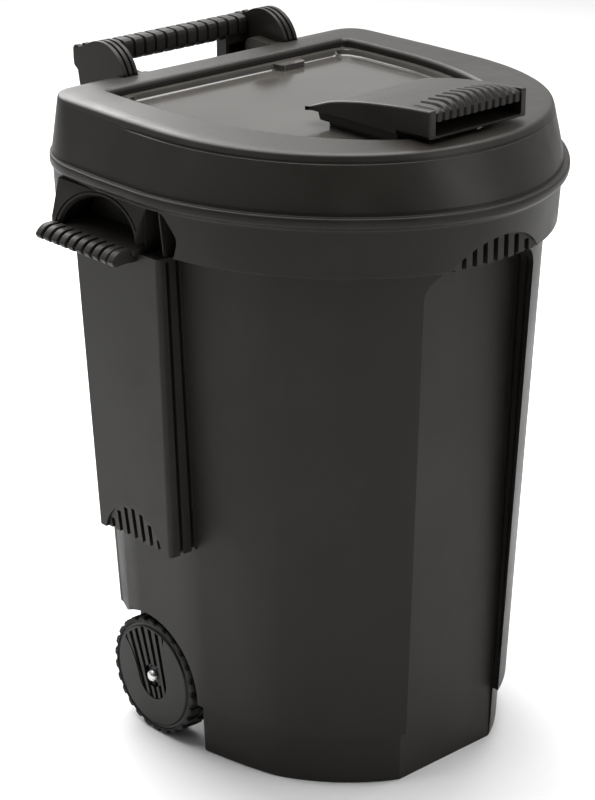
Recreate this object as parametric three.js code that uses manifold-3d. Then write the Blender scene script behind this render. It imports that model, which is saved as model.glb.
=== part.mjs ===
// Two-wheeled refuse bin with a hinged lid, a hatch flap in the lid, side grips and a rear pull handle.
// Millimetres, +Z up, front of the bin towards -Y, origin on the ground under the middle of its box.
import * as THREE from 'three';
import { mergeVertices } from 'three/addons/utils/BufferGeometryUtils.js';
import Module from 'manifold-3d';

const wasm = await Module();
wasm.setup();

// ---- driving dimensions -------------------------------------------------------------------
const fit = 0.4;                 // gap between pieces that touch or plug together
const skin = 3.5;                // moulded wall thickness

const skirt = { top: 68, inset: 8 };
const wallTop = 655;             // the body wall runs from the skirt up to the collar
const wallLow = { halfWidth: 216, rearHalfWidth: 202, wideY: -32, noseY: -258, rearY: 150 };
const wallHigh = { halfWidth: 244, rearHalfWidth: 226, wideY: -32, noseY: -284, rearY: 172 };
const wallShape = { power: 1.8, swell: 0, shoulderY: 108, corner: 14, shrink: 1, crease: 10, lead: 12 };

const rim = { halfWidth: 275, rearHalfWidth: 272, wideY: 0, noseY: -301, rearY: 234 };
const rimShape = { power: 1.85, swell: 0.0093, shoulderY: 70, corner: 110, shrink: 2.6, crease: 0, lead: 8 };
const bead = { low: 712, high: 730, reach: 8 };
const collarInset = 8;           // the collar's lower edge sits this far inside the rim outline

const facet = { halfWidth: 78, flare: 10, lowY: -224, highY: -232, top: 653, corner: 42 };
const facetArch = { half: 70, base: 655, rise: 33, y: -282, slots: 9, slotWidth: 7.4, foot: 645 };
const groove = { half: 2.4, depth: 5 };
const panel = { front: -30, rearLow: 103, rearHigh: 121, low: 285, high: 648, xLow: 264, xHigh: 274, inLow: 226, inHigh: 243 };
const panelArch = { middle: 38, half: 53, rise: 42, slots: 7, slotWidth: 6.6, inward: 5 };

const wheel = { radius: 76, y: 66, outerX: 222, width: 42, rimRadius: 69 };
const wheelArch = { radius: 86, y: 70, z: 74, roof: 146, innerX: 168, tunnelRoof: 98 };
const tongue = { round: 26.5, flare: 40, reach: 55, tilt: 17, depth: 4, ribs: 6, ribLow: 9.5, ribHigh: 14 };
const axle = { radius: 6, halfLength: 219 };
const bush = { outer: 11, inner: axle.radius + fit };

const grip = { from: 3, to: 148, innerX: 284, reach: 26, height: 16, top: 660, ribs: 9 };
const bracket = { front: -8, frontLow: 0, rear: 150, low: 653, backing: 643, knee: 664, top: 706 };
const handle = {
  cheekInner: 117, cheekOuter: 138, legInner: 81, legRear: 282, barFront: 262, barRear: 289, barLow: 790, barHigh: 815,
};
const lidHinge = { y: 238, z: 781, knuckle: 46.5, pin: 4 };

const lid = { low: 731, top: 793 };
const hatch = { halfWidth: 190, rearHalfWidth: 188, wideY: 60, noseY: -236, rearY: 160 };
const hatchShape = { power: 2, swell: 0, shoulderY: 120, corner: 7, shrink: 0, crease: 0, lead: 8 };
const flapShape = { ...hatchShape, corner: 20 };
const flap = { low: 773, panelTop: 777, rimTop: 784, rimWidth: 9, gap: 3 };
const flapHinge = { y: 150, z: 778.5, pin: 3, from: 164, to: 201 };
const flapGrip = { halfWidth: 76, front: -251, tip: -52, shelf: 798, top: 830, wall: 9 };
const pad = { halfWidth: 66, seat: 825.5, rear: -213, crest: 12, arch: 0.68, ribs: 12, rib: 3, nose: 816.5, noseDepth: 7 };

// ---- materials ----------------------------------------------------------------------------
const finish = (color, roughness, metalness) => () =>
  new THREE.MeshStandardMaterial({ color, roughness, metalness });
const shellPlastic = finish(0x3a3936, 0.5, 0);
const lidPlastic = finish(0x45433f, 0.45, 0);
const glossPlastic = finish(0x56544f, 0.16, 0);
const gripPlastic = finish(0x33322f, 0.6, 0);
const wheelPlastic = finish(0x2c2b29, 0.4, 0);
const tyreRubber = finish(0x161615, 0.85, 0);
const nylon = finish(0x22211f, 0.5, 0);
const steel = finish(0xc2c4c6, 0.3, 1);

// ---- solid helpers ------------------------------------------------------------------------
function solid(geometry) {
  const bare = geometry.clone();
  bare.deleteAttribute('normal');
  bare.deleteAttribute('uv');
  const merged = mergeVertices(bare, 1e-4);
  return new wasm.Manifold(new wasm.Mesh({
    numProp: 3,
    vertProperties: new Float32Array(merged.attributes.position.array),
    triVerts: new Uint32Array(merged.index.array),
  }));
}

function geometryOf(manifold) {
  const mesh = manifold.getMesh();
  const geometry = new THREE.BufferGeometry();
  geometry.setAttribute('position', new THREE.BufferAttribute(new Float32Array(mesh.vertProperties), 3));
  geometry.setIndex(new THREE.BufferAttribute(new Uint32Array(mesh.triVerts), 1));
  geometry.computeVertexNormals();
  return geometry;
}

const join = (first, ...others) => others.reduce((sum, other) => sum.add(other), first);
const cut = (first, ...others) => others.reduce((rest, other) => rest.subtract(other), first);

function box(x0, x1, y0, y1, z0, z1) {
  const geometry = new THREE.BoxGeometry(x1 - x0, y1 - y0, z1 - z0);
  geometry.translate((x0 + x1) / 2, (y0 + y1) / 2, (z0 + z1) / 2);
  return solid(geometry);
}

// A closed skin through rings of matching 3-D points, capped flat at both ends.
function loft(rings) {
  const count = rings[0].length;
  const positions = rings.flat().flatMap((point) => [point.x, point.y, point.z]);
  const index = [];
  for (let level = 0; level < rings.length - 1; level += 1) {
    for (let i = 0; i < count; i += 1) {
      const a = level * count + i;
      const b = level * count + ((i + 1) % count);
      index.push(a, b, b + count, a, b + count, a + count);
    }
  }
  const capOf = (ring, offset, flip) => {
    const normal = ringNormal(ring);
    const basis = new THREE.Matrix4().lookAt(normal, new THREE.Vector3(), sideways(normal)).invert();
    const flat = ring.map((point) => point.clone().applyMatrix4(basis));
    const faces = THREE.ShapeUtils.triangulateShape(flat.map((point) => new THREE.Vector2(point.x, point.y)), []);
    faces.forEach(([a, b, c]) => index.push(offset + a, offset + (flip ? c : b), offset + (flip ? b : c)));
  };
  capOf(rings[0], 0, true);
  capOf(rings[rings.length - 1], (rings.length - 1) * count, false);
  const geometry = new THREE.BufferGeometry();
  geometry.setAttribute('position', new THREE.Float32BufferAttribute(positions, 3));
  geometry.setIndex(index);
  const made = solid(geometry);
  return made.volume() > 0 ? made : solid(geometry.setIndex(index.reverse()));
}

function ringNormal(ring) {
  const normal = new THREE.Vector3();
  ring.forEach((point, i) => normal.add(point.clone().cross(ring[(i + 1) % ring.length])));
  return normal.normalize();
}

const sideways = (normal) => (Math.abs(normal.z) > 0.9 ? new THREE.Vector3(0, 1, 0) : new THREE.Vector3(0, 0, 1));
const atHeight = (outline, z) => outline.map((point) => new THREE.Vector3(point.x, point.y, z));
const column = (outline, z0, z1) => loft([atHeight(outline, z0), atHeight(outline, z1)]);

// A prism across the bin: a closed outline of [y, z] pairs, counterclockwise seen from +X.
function acrossX(outline, x0, x1) {
  return loft([x0, x1].map((x) => outline.map(([y, z]) => new THREE.Vector3(x, y, z))));
}

function mirrored(manifold) {
  return manifold.mirror([1, 0, 0]);
}

const onBothSides = (manifold) => join(manifold, mirrored(manifold));

function rodX(radius, x0, x1, y, z, segments = 24) {
  const geometry = new THREE.CylinderGeometry(radius, radius, x1 - x0, segments);
  geometry.rotateZ(Math.PI / 2);
  geometry.translate((x0 + x1) / 2, y, z);
  return solid(geometry);
}

function arcPoints(cx, cy, radius, fromDegrees, toDegrees, steps) {
  return Array.from({ length: steps + 1 }, (_, i) => {
    const angle = THREE.MathUtils.degToRad(fromDegrees + ((toDegrees - fromDegrees) * i) / steps);
    return [cx + radius * Math.cos(angle), cy + radius * Math.sin(angle)];
  });
}

// ---- plan outlines ------------------------------------------------------------------------
// A bin outline seen from above: a rounded bow at the front, straight sides, rounded rear corners. Drawn in by an
// inset, its rear corners tighten by the shape's shrink and its bow squares up by the shape's swell. A crease, in
// degrees, turns the bow away from the flat sides with an edge, that far in the lead of the bow's widest line.
function planOutline(size, shape, inset = 0) {
  const bowSteps = 15;
  const cornerSteps = 4;
  const tightest = 2;
  const easeFrom = 0.86;
  const halfWidth = size.halfWidth - inset;
  const noseY = size.noseY + inset;
  const rearY = size.rearY - inset;
  const rearHalfWidth = size.rearHalfWidth - inset;
  const power = shape.power + shape.swell * Math.max(inset, 0);
  const sideAngle = shape.crease ? Math.acos(easeFrom ** (power / 2)) : 0;
  const bow = Array.from({ length: bowSteps + 1 }, (_, i) => {
    const angle = THREE.MathUtils.lerp(Math.PI / 2, sideAngle, i / bowSteps);
    const across = halfWidth * Math.cos(angle) ** (2 / power);
    return new THREE.Vector2(across, size.wideY - (size.wideY - noseY) * Math.sin(angle) ** (2 / power));
  });
  const edge = new THREE.Vector2(halfWidth, size.wideY + shape.lead);
  const corner = Math.max(shape.corner - shape.shrink * inset, tightest);
  const rear = arcPoints(rearHalfWidth - corner, rearY - corner, corner, 0, 90, cornerSteps);
  const flank = [[halfWidth, shape.shoulderY], ...rear].map(([x, y]) => new THREE.Vector2(x, y));
  const right = [...bow, ...(shape.crease ? easedTo(edge, bow, shape.crease) : [edge]), ...flank];
  const left = [...right].slice(1).reverse().map((point) => new THREE.Vector2(-point.x, point.y));
  return [...right, ...left];
}

// Points from the end of a bow to the edge of a flat side, meeting that side at the crease's angle.
function easedTo(edge, bow, crease) {
  const steps = 6;
  const [before, end] = bow.slice(-2);
  const tangent = end.clone().sub(before);
  const lean = THREE.MathUtils.degToRad(crease);
  const along = new THREE.Vector2(-Math.sin(lean), -Math.cos(lean));
  const reach = end.clone().sub(edge).cross(tangent) / along.cross(tangent);
  const control = edge.clone().addScaledVector(along, reach);
  return new THREE.QuadraticBezierCurve(end, control, edge).getPoints(steps).slice(1);
}

function between(low, high, share) {
  return Object.fromEntries(Object.keys(low).map((key) => [key, low[key] + (high[key] - low[key]) * share]));
}

const wallAt = (z, inset = 0) =>
  planOutline(between(wallLow, wallHigh, (z - skirt.top) / (wallTop - skirt.top)), wallShape, inset);
const rimAt = (inset) => planOutline(rim, rimShape, inset);
const ringStack = (levels) => loft(levels.map(([z, inset]) => atHeight(rimAt(inset), z)));

// ---- body shell ---------------------------------------------------------------------------
// A shallow arch on top of straight sides, as pairs of numbers.
function archedOutline(halfWidth, base, rise, foot) {
  const radius = (halfWidth ** 2 + rise ** 2) / (2 * rise);
  const spread = THREE.MathUtils.radToDeg(Math.asin(halfWidth / radius));
  const arch = arcPoints(0, base + rise - radius, radius, 90 - spread, 90 + spread, 14);
  return [[halfWidth, foot], ...arch, [-halfWidth, foot]];
}

const alongY = (outline, y0, y1) =>
  loft([y0, y1].map((y) => outline.map(([x, z]) => new THREE.Vector3(x, y, z))));

// The flat front, cut back into the bow and tapering with the wall.
function facetRecess(grow) {
  const lowHalf = facet.halfWidth + grow;
  const highHalf = lowHalf + facet.flare;
  const reach = -340;
  const top = facet.top + grow;
  const ring = (half, y, z) => [[-half, reach], [half, reach], [half, y + grow], [-half, y + grow]]
    .map(([px, py]) => new THREE.Vector3(px, py, z));
  const flat = loft([ring(lowHalf, facet.lowY, -1), ring(highHalf, facet.highY, top)]);
  const side = highHalf + 1;
  const corners = arcPoints(side - facet.corner, top - facet.corner, facet.corner, 0, 90, 4);
  const outline = [[side, -2], ...corners, ...[...corners].reverse().map(([x, z]) => [-x, z]), [-side, -2]];
  return flat.intersect(alongY(outline, reach - 10, facet.lowY + 30));
}

// The arched panel over the flat front: a flat face let into the collar, slotted through to the flat front.
function facetArchCuts() {
  const { half, base, rise, y, slots, slotWidth, foot } = facetArch;
  const face = alongY(archedOutline(half, base, rise, foot), -330, y);
  const margin = 2.5;
  const pitch = (2 * half - slotWidth) / (slots - 1);
  const cuts = Array.from({ length: slots }, (_, i) => {
    const x = (i - (slots - 1) / 2) * pitch;
    const top = Math.max(base + rise * (1 - (x / half) ** 2) - margin, base + margin);
    return box(x - slotWidth / 2, x + slotWidth / 2, -330, facet.highY + 2, foot, top);
  });
  return join(face, ...cuts);
}

// Two upright grooves in the step between the flat front and the bow.
function facetGrooves() {
  const share = (z) => (z - skirt.top) / (facet.top - skirt.top);
  const groove = (place) => loft([100, 648].map((z) => {
    const x = facet.halfWidth + facet.flare * share(z);
    const flatY = THREE.MathUtils.lerp(facet.lowY, facet.highY, share(z));
    const bowY = -240 - 22 * share(z);
    const middle = THREE.MathUtils.lerp(flatY, bowY, place);
    const half = 1.2 + 1.4 * share(z);
    return [[x - 2, middle - half], [x + 5, middle - half], [x + 5, middle + half], [x - 2, middle + half]]
      .map(([gx, gy]) => new THREE.Vector3(gx, gy, z));
  }));
  return onBothSides(join(groove(0.22), groove(0.62)));
}

function sidePanel(inset) {
  const ring = (z, x, rear) => [[0, panel.front + inset], [0, rear - inset], [-x + inset, rear - inset],
    [-x + inset, panel.front + inset]].map(([px, py]) => new THREE.Vector3(px, py, z));
  return loft([
    ring(panel.low + inset, panel.xLow, panel.rearLow),
    ring(bracket.low + (inset ? 10 : 0), panel.xHigh, panel.rearHigh),
  ]);
}

// The arch in the panel's foot: its face leans inwards as it falls, and slots run up it.
function panelArchCuts() {
  const { middle, half, rise, slots, slotWidth, inward } = panelArch;
  const top = panel.low + rise;
  const lean = [[-300, panel.low - 5], [-300, top], [-panel.xLow - 1, top], [-panel.xLow + inward, panel.low - 5]];
  const outline = archedOutline(half, panel.low, rise, panel.low - 5).map(([y, z]) => [y + middle, z]);
  const face = acrossX(outline, -300, -200).intersect(alongY(lean, middle - 80, middle + 80));
  const pitch = (2 * half - slotWidth - 14) / (slots - 1);
  const cuts = Array.from({ length: slots }, (_, i) => {
    const y = middle + (i - (slots - 1) / 2) * pitch;
    const slotTop = top - rise * ((y - middle) / half) ** 2 - 1;
    return box(-300, -244, y - slotWidth / 2, y + slotWidth / 2, panel.low - 5, Math.max(slotTop, panel.low + 3));
  });
  return join(face, ...cuts);
}

function panelGrooves() {
  const one = (share) => loft([[panel.low - 2, panel.xLow, panel.inLow], [panel.high, panel.xHigh, panel.inHigh]]
    .map(([z, outer, inner]) => {
      const x = -THREE.MathUtils.lerp(outer, inner, share);
      return [[x - groove.half, panel.front - 2], [x + groove.half, panel.front - 2],
        [x + groove.half, panel.front + groove.depth], [x - groove.half, panel.front + groove.depth]]
        .map(([px, py]) => new THREE.Vector3(px, py, z));
    }));
  return join(one(0.45), one(0.9));
}

// The side bracket that carries a grip: the collar flares out over a hand pocket with an arched mouth.
function sideBracket() {
  const { front, frontLow, rear, low, backing, knee, top } = bracket;
  const ring = (z, x, y0) => [[-200, y0], [-200, rear], [-x, rear], [-x, y0]]
    .map(([px, py]) => new THREE.Vector3(px, py, z));
  const flare = loft([ring(low, grip.innerX, frontLow), ring(knee, grip.innerX, frontLow), ring(top, 275, front)]);
  return join(flare, box(-grip.innerX, -200, grip.from + 4, rear, backing, low + 1));
}

function handPocket() {
  const floor = 655;
  const [middle, half, squash] = [65, 67, 0.7];
  const arch = arcPoints(middle, floor, half, 0, 180, 16).map(([y, z]) => [y, floor + (z - floor) * squash]);
  return acrossX(arch, -300, -246);
}

// The dark pocket in front of the bracket, with a thin upright rib in it.
function gussetPocket() {
  const mouth = acrossX([[-44, 655], [-2, 655], [-9, 708], [-34, 708], [-53, 680]], -300, -240);
  return cut(mouth, box(-270, -238, -31, -29, 640, 715));
}

function wheelNotch(grow) {
  const { radius, y, z, roof, innerX } = wheelArch;
  const low = -1 - grow;
  const roofAngle = THREE.MathUtils.radToDeg(Math.asin((roof - z) / radius));
  const arch = arcPoints(y, z, radius + grow, 180, roofAngle, 16);
  const roofZ = arch[arch.length - 1][1];
  return acrossX([[y - radius - grow, low], [260, low], [260, roofZ], ...arch.reverse()], -300, -innerX + grow);
}

function axleTunnel(grow) {
  const frontY = wheelArch.y - wheelArch.radius - grow;
  const roof = wheelArch.tunnelRoof + grow;
  const outline = [[frontY, -1 - grow], [260, -1 - grow], [260, roof], [frontY + 30, roof]];
  return acrossX(outline, -200, 200);
}

function axleRibs() {
  const thickness = 6;
  const rib = (x) => {
    const [foot, head] = [wheel.radius - 22, wheelArch.tunnelRoof + 2];
    const outline = [[wheel.y - 22, foot], [wheel.y + 22, foot], [wheel.y + 40, head], [wheel.y - 40, head]];
    return acrossX(outline, x - thickness / 2, x + thickness / 2);
  };
  const ribs = join(rib(55), rib(158));
  return cut(onBothSides(ribs), rodX(axle.radius + fit, -250, 250, wheel.y, wheel.radius));
}

function handleSockets() {
  const block = box(handle.legInner - 6, handle.cheekOuter + 6, 226, 280, 662, 704);
  return cut(onBothSides(block), onBothSides(handleFoot(fit, 710)));
}

function bodyShell() {
  const panelCuts = join(panelArchCuts(), panelGrooves());
  const outerWall = join(
    loft([skirt.top, wallTop + 2].map((z) => atHeight(wallAt(z), z))),
    loft([atHeight(wallAt(skirt.top, skirt.inset + 3), 0), atHeight(wallAt(skirt.top, skirt.inset), skirt.top + 1)]),
    onBothSides(cut(sidePanel(0), panelCuts)),
    onBothSides(sideBracket()),
    ringStack([[wallTop, collarInset + 4], [wallTop + 4, collarInset], [bead.low, 2], [bead.low + 4, -bead.reach + 2],
      [bead.low + 9, -bead.reach], [bead.high - 4, -bead.reach + 1], [bead.high, -bead.reach + 5]]),
  );
  const keepFront = join(facetRecess(skin), onBothSides(box(74, 98, -300, -218, 90, 700)),
    box(-98, 98, -330, -222, 620, 706));
  const keepSide = join(box(-300, -234, -60, 142, 636, 712), box(-300, -222, -44, -20, 280, 660),
    box(-300, -236, panelArch.middle - panelArch.half - 8, panelArch.middle + panelArch.half + 8, 270, panel.low + panelArch.rise + 8));
  const cavity = cut(
    join(
      loft([atHeight(wallAt(skirt.top, skirt.inset + 3 + skin), 5),
        atHeight(wallAt(skirt.top, skirt.inset + skin), skirt.top - 2),
        atHeight(wallAt(skirt.top + 6, skin), skirt.top + 6), atHeight(wallAt(wallTop, skin), wallTop + 6)]),
      onBothSides(sidePanel(skin)),
      ringStack([[wallTop - 6, 40], [wallTop + 9, collarInset + skin], [bead.low, 2 + skin],
        [bead.high + 5, 2 + skin]]),
    ),
    keepFront,
    onBothSides(join(wheelNotch(skin), keepSide)),
    axleTunnel(skin),
  );
  const shell = cut(outerWall, cavity, facetRecess(0), facetArchCuts(), facetGrooves(),
    onBothSides(join(wheelNotch(0), handPocket(), gussetPocket())), axleTunnel(0));
  return join(shell, axleRibs(), handleSockets());
}

// ---- rear handle --------------------------------------------------------------------------
function handleFoot(grow, top) {
  return box(handle.legInner - grow, handle.cheekOuter + grow, 246 - grow, 272 + grow, 668 - grow, top);
}

function cheekOutline() {
  const knuckle = arcPoints(lidHinge.y, lidHinge.z, lidHinge.knuckle, 55, 163, 12);
  return [[200, lid.top + 1.5], [224, lid.top - 4], [250, 752], [272, 752], [280, 769], [283, 786], [290, 790],
    [291, 808], [288, 813], ...knuckle];
}

function knuckleGrooves() {
  const ring = (x0, x1) => cut(rodX(lidHinge.knuckle + 6, x0, x1, lidHinge.y, lidHinge.z, 60),
    rodX(lidHinge.knuckle - 2.5, x0 - 1, x1 + 1, lidHinge.y, lidHinge.z, 60));
  const rings = join(ring(122, 125), ring(129.5, 132.5));
  return cut(rings, box(100, 150, 258, 320, 740, 850));
}

function rearHandle() {
  const { cheekInner, cheekOuter, legInner, legRear, barFront, barRear, barLow, barHigh } = handle;
  const cheek = cut(acrossX(cheekOutline(), cheekInner, cheekOuter), knuckleGrooves());
  const legOutline = [[264, 708], [legRear, 720], [legRear, barLow + 4], [264, barLow + 4]];
  const leg = acrossX(legOutline, legInner, cheekInner + 1);
  const side = join(cheek, leg, handleFoot(0, 756));
  const core = box(-cheekInner - 1, cheekInner + 1, barFront + 4, barRear - 3, barLow + 3, barHigh - 5);
  const bored = cut(onBothSides(side), onBothSides(rodX(lidHinge.pin + fit, 90, 136.5, lidHinge.y, lidHinge.z)));
  return join(bored, core);
}

// A ribbed sleeve round the handle's core, with a rounded rib every pitch.
function rearGripSleeve() {
  const ribs = 14;
  const { cheekInner, barFront, barRear, barLow, barHigh } = handle;
  const half = cheekInner - fit;
  const pitch = (2 * half) / ribs;
  const profile = (grow) => roundedSection(barFront + 2 - grow, barRear - 1 + grow, barLow + 1 - grow,
    barHigh - 2 + grow, 6);
  const sleeve = acrossX(profile(0), -half, half);
  const ridge = Array.from({ length: ribs }, (_, i) => {
    const x = -half + pitch * (i + 0.5);
    return acrossX(profile(2.4), x - pitch * 0.3, x + pitch * 0.3);
  });
  const bore = box(-cheekInner - 5, cheekInner + 5, barFront + 4 - fit, barRear - 3 + fit, barLow + 3 - fit,
    barHigh - 5 + fit);
  const legs = onBothSides(box(handle.legInner - fit, cheekInner + 5, 264 - fit, handle.legRear + fit, 680, barLow + 4 + fit));
  return cut(join(sleeve, ...ridge), bore, legs);
}

function roundedSection(y0, y1, z0, z1, radius) {
  const corners = [[y1 - radius, z0 + radius, -90], [y1 - radius, z1 - radius, 0], [y0 + radius, z1 - radius, 90],
    [y0 + radius, z0 + radius, 180]];
  return corners.flatMap(([y, z, from]) => arcPoints(y, z, radius, from, from + 90, 2));
}

// ---- side grips ---------------------------------------------------------------------------
function sideGrip() {
  const { from, to, innerX, reach, height, top, ribs } = grip;
  const section = (grow, y0, y1) => {
    const points = [[-innerX - fit, top - height], [-innerX - reach + 6, top - height - grow],
      [-innerX - reach - grow, top - height + 6], [-innerX - reach - grow, top - 8],
      [-innerX - reach + 8, top + grow], [-innerX - fit, top + grow]];
    return loft([y0, y1].map((y) => points.map(([x, z]) => new THREE.Vector3(x, y, z))));
  };
  const bar = section(-2.5, from + 2, to);
  const pitch = (to - from - 10) / ribs;
  const ridges = Array.from({ length: ribs }, (_, i) => {
    const y = from + 14 + pitch * i;
    return section(0.5, y, y + pitch * 0.55);
  });
  return join(bar, section(0.5, from, from + 9), ...ridges);
}

// ---- lid ----------------------------------------------------------------------------------
const lidLevels = [[0, 1], [14, 7], [46, 20], [55, 24], [60, 30], [lid.top - lid.low, 39]];

function lidShell() {
  const outer = ringStack(lidLevels.map(([rise, inset]) => [lid.low + rise, inset]));
  const inner = ringStack(lidLevels.map(([rise, inset], level) =>
    [lid.low + rise - (level ? skin : 1), inset + skin]));
  const hatchFrame = column(planOutline(hatch, hatchShape, -skin), 768, lid.top - 1);
  const bossStart = hatch.halfWidth + 1;
  const ledge = cut(column(planOutline(hatch, hatchShape), 766, 780), box(-300, 300, 138, 300, 760, 800));
  const opening = cut(column(planOutline(hatch, hatchShape), 760, 800), cut(ledge,
    column(planOutline(hatch, hatchShape, flap.rimWidth), 760, 800), box(-300, 300, -300, 300, flap.low - 1, 810)));
  const flapBoss = box(bossStart, flapHinge.to + 3, 142, 158, 770, lid.top - 2);
  const ear = join(
    rodX(12, 100, handle.cheekInner - 0.5, lidHinge.y, lidHinge.z),
    acrossX([[204, 762], [238, 770], [238, lid.top], [200, lid.top - 3]], 100, handle.cheekInner - 0.5),
  );
  const notch = join(
    rodX(lidHinge.knuckle + 1.5, handle.cheekInner - 0.8, handle.cheekOuter + 1, lidHinge.y, lidHinge.z, 40),
    box(handle.cheekInner - 0.8, handle.cheekOuter + 1, 205, 280, 736, 800),
  );
  const fingerScoop = acrossX([[182, 800], [240, 770], [280, 800]], -98, 98);
  const shell = cut(join(cut(outer, inner), hatchFrame, onBothSides(flapBoss)), opening, fingerScoop);
  const eared = join(cut(shell, onBothSides(notch)), onBothSides(ear));
  return cut(eared,
    onBothSides(rodX(lidHinge.pin + fit, 103.6, 130, lidHinge.y, lidHinge.z)),
    onBothSides(rodX(flapHinge.pin + fit, 150, flapHinge.to + fit, flapHinge.y, flapHinge.z)));
}

// ---- hatch flap ---------------------------------------------------------------------------
function hatchFlap() {
  const plate = column(planOutline(hatch, flapShape, flap.gap), flap.low, flap.rimTop);
  const sunk = column(planOutline(hatch, flapShape, flap.gap + flap.rimWidth), flap.panelTop, flap.rimTop + 5);
  const boss = box(flapHinge.from - 2, hatch.halfWidth - 10, 144, 154, flap.low, flap.rimTop);
  const tab = box(57, 100, 132, 150, flap.low, flap.rimTop);
  const pinHoles = onBothSides(rodX(flapHinge.pin + fit, flapHinge.from - fit, 210, flapHinge.y, flapHinge.z));
  return cut(join(cut(plate, sunk), onBothSides(boss), tab), pinHoles);
}

// The raised grip at the flap's front: a visor on a narrower plinth, open at the front for the fingers.
function flapGripShell() {
  const { halfWidth, front, tip, shelf, top, wall } = flapGrip;
  const seat = flap.rimTop + fit;
  const ledge = seat + 9;
  const crown = [[-64, 800], [-95, 811], [-143, 820], [-205, 827], [front, top]];
  const visor = acrossX([[front, shelf], [-200, shelf], [-200, ledge], [tip, ledge], [tip, ledge + 1], ...crown],
    -halfWidth, halfWidth);
  const plinth = box(-halfWidth + 5, halfWidth - 5, -197, tip - 18, seat, ledge + 2);
  const foot = box(-62, 62, -190, -80, flap.panelTop + fit, seat + 1);
  const inner = halfWidth - wall;
  const roof = pad.seat - 3;
  const cavity = acrossX([[front - 5, shelf + 3], [-198, shelf + 3], [-190, seat + 5], [-96, seat + 5], [-96, 804],
    [-140, 813], [pad.rear, roof], [front - 5, roof]], -inner, inner);
  const padRoom = box(-inner, inner, front - 5, pad.rear, pad.seat, top + 5);
  const lip = box(-inner, inner, front - 5, front + 8, roof - 1, pad.seat + 1);
  return cut(join(visor, plinth, foot), cavity, padRoom, lip);
}

// The arched pad that lies in the grip's front edge, ribbed from front to back, its nose turned down.
function gripPad() {
  const { halfWidth, seat, rear, crest, arch, ribs, rib } = pad;
  const low = seat + fit;
  const steps = 2 * ribs;
  const ring = (y, rise) => {
    const crownAt = (x) => low + rise * (1 - arch * (x / halfWidth) ** 2);
    const points = Array.from({ length: steps * 2 }, (_, i) => {
      const x = -halfWidth + (2 * halfWidth * (Math.floor(i / 2) + (i % 2 ? 0.98 : 0.02))) / steps;
      const sunk = Math.floor(i / 2) % 2 ? Math.min(rib, (crownAt(x) - low) / 2) : 0;
      return [x, crownAt(x) - sunk];
    });
    return [[-halfWidth, low], ...points, [halfWidth, low]].map(([x, z]) => new THREE.Vector3(x, y, z));
  };
  const saddle = loft([ring(rear - fit, crest - 3), ring(flapGrip.front + 16, crest),
    ring(flapGrip.front + 7, crest - 2), ring(flapGrip.front + 2, crest - 6), ring(flapGrip.front, 3)]);
  return join(saddle, padNose());
}

// The ribs' front ends, hanging down over the top of the finger opening.
function padNose() {
  const { halfWidth, seat, ribs, rib, nose, noseDepth } = pad;
  const { front } = flapGrip;
  const steps = 2 * ribs;
  const teeth = Array.from({ length: steps * 2 }, (_, i) => {
    const x = -halfWidth + (2 * halfWidth * (Math.floor(i / 2) + (i % 2 ? 0.98 : 0.02))) / steps;
    return new THREE.Vector2(x, Math.floor(i / 2) % 2 ? front + rib : front);
  });
  const back = [new THREE.Vector2(halfWidth, front + noseDepth), new THREE.Vector2(-halfWidth, front + noseDepth)];
  return column([...teeth, ...back], nose, seat + 2 * fit);
}

// ---- wheels and axle ----------------------------------------------------------------------
function lathedAboutX(profile, segments) {
  const geometry = new THREE.LatheGeometry(profile.map(([radius, x]) => new THREE.Vector2(radius, x)), segments);
  geometry.rotateZ(Math.PI / 2);
  geometry.translate(0, wheel.y, wheel.radius);
  return solid(geometry);
}

// The raised tongue on the wheel's face, as [y, z] pairs: round below the hub, flaring to the rim, tilted back.
function tongueOutline(shrink) {
  const { round, flare, reach, tilt } = tongue;
  const low = arcPoints(0, -4, round - shrink, 180, 360, 10);
  const flank = [[round + 1 - shrink, 16], [round + 5 - shrink, 34], [flare - shrink, reach - 5 - shrink]];
  const top = [[flare * 0.5, wheel.rimRadius - 10 - shrink], [0, wheel.rimRadius - 5 - shrink]];
  const right = [...flank, ...top];
  const left = [...right].reverse().slice(1).map(([across, up]) => [-across, up]);
  const turn = THREE.MathUtils.degToRad(-tilt);
  return [...low, ...right, ...left].map(([across, up]) => [
    wheel.y + across * Math.cos(turn) - up * Math.sin(turn),
    wheel.radius + across * Math.sin(turn) + up * Math.cos(turn),
  ]);
}

function tongueRibs(face) {
  const { ribs, ribLow, ribHigh, tilt } = tongue;
  const [foot, head] = [-40, 80];
  const rib = (place) => {
    const [low, high] = [place * ribLow, place * ribHigh];
    return [[low - 2, foot], [low + 2, foot], [high + 3, head], [high - 3, head]];
  };
  const turn = THREE.MathUtils.degToRad(-tilt);
  const solids = Array.from({ length: ribs }, (_, i) => {
    const outline = rib(i - (ribs - 1) / 2).map(([across, up]) => [
      wheel.y + across * Math.cos(turn) - up * Math.sin(turn),
      wheel.radius + across * Math.sin(turn) + up * Math.cos(turn),
    ]);
    return acrossX(outline, face, face + tongue.depth + 1);
  });
  return join(...solids).intersect(acrossX(tongueOutline(0.5), face - 1, face + 10));
}

function wheelDisc() {
  const { outerX, width, rimRadius } = wheel;
  const face = -outerX + 3;
  const back = -outerX + width - 4;
  const bore = bush.outer + fit;
  const profile = [[bore, -back], [rimRadius, -back], [rimRadius, -face], [rimRadius - 3, -face + 1.5],
    [rimRadius - 5, -face - 1], [bore, -face - 1], [bore, -back]];
  const disc = lathedAboutX(profile, 48);
  const pocket = acrossX(tongueOutline(0), face - 5, face + tongue.depth);
  const moat = rodX(bore + 4, face - 5, face + tongue.depth, wheel.y, wheel.radius, 32);
  return cut(join(cut(disc, pocket), cut(tongueRibs(face), moat)),
    rodX(bore, face - 5, back + 5, wheel.y, wheel.radius, 40));
}

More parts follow.
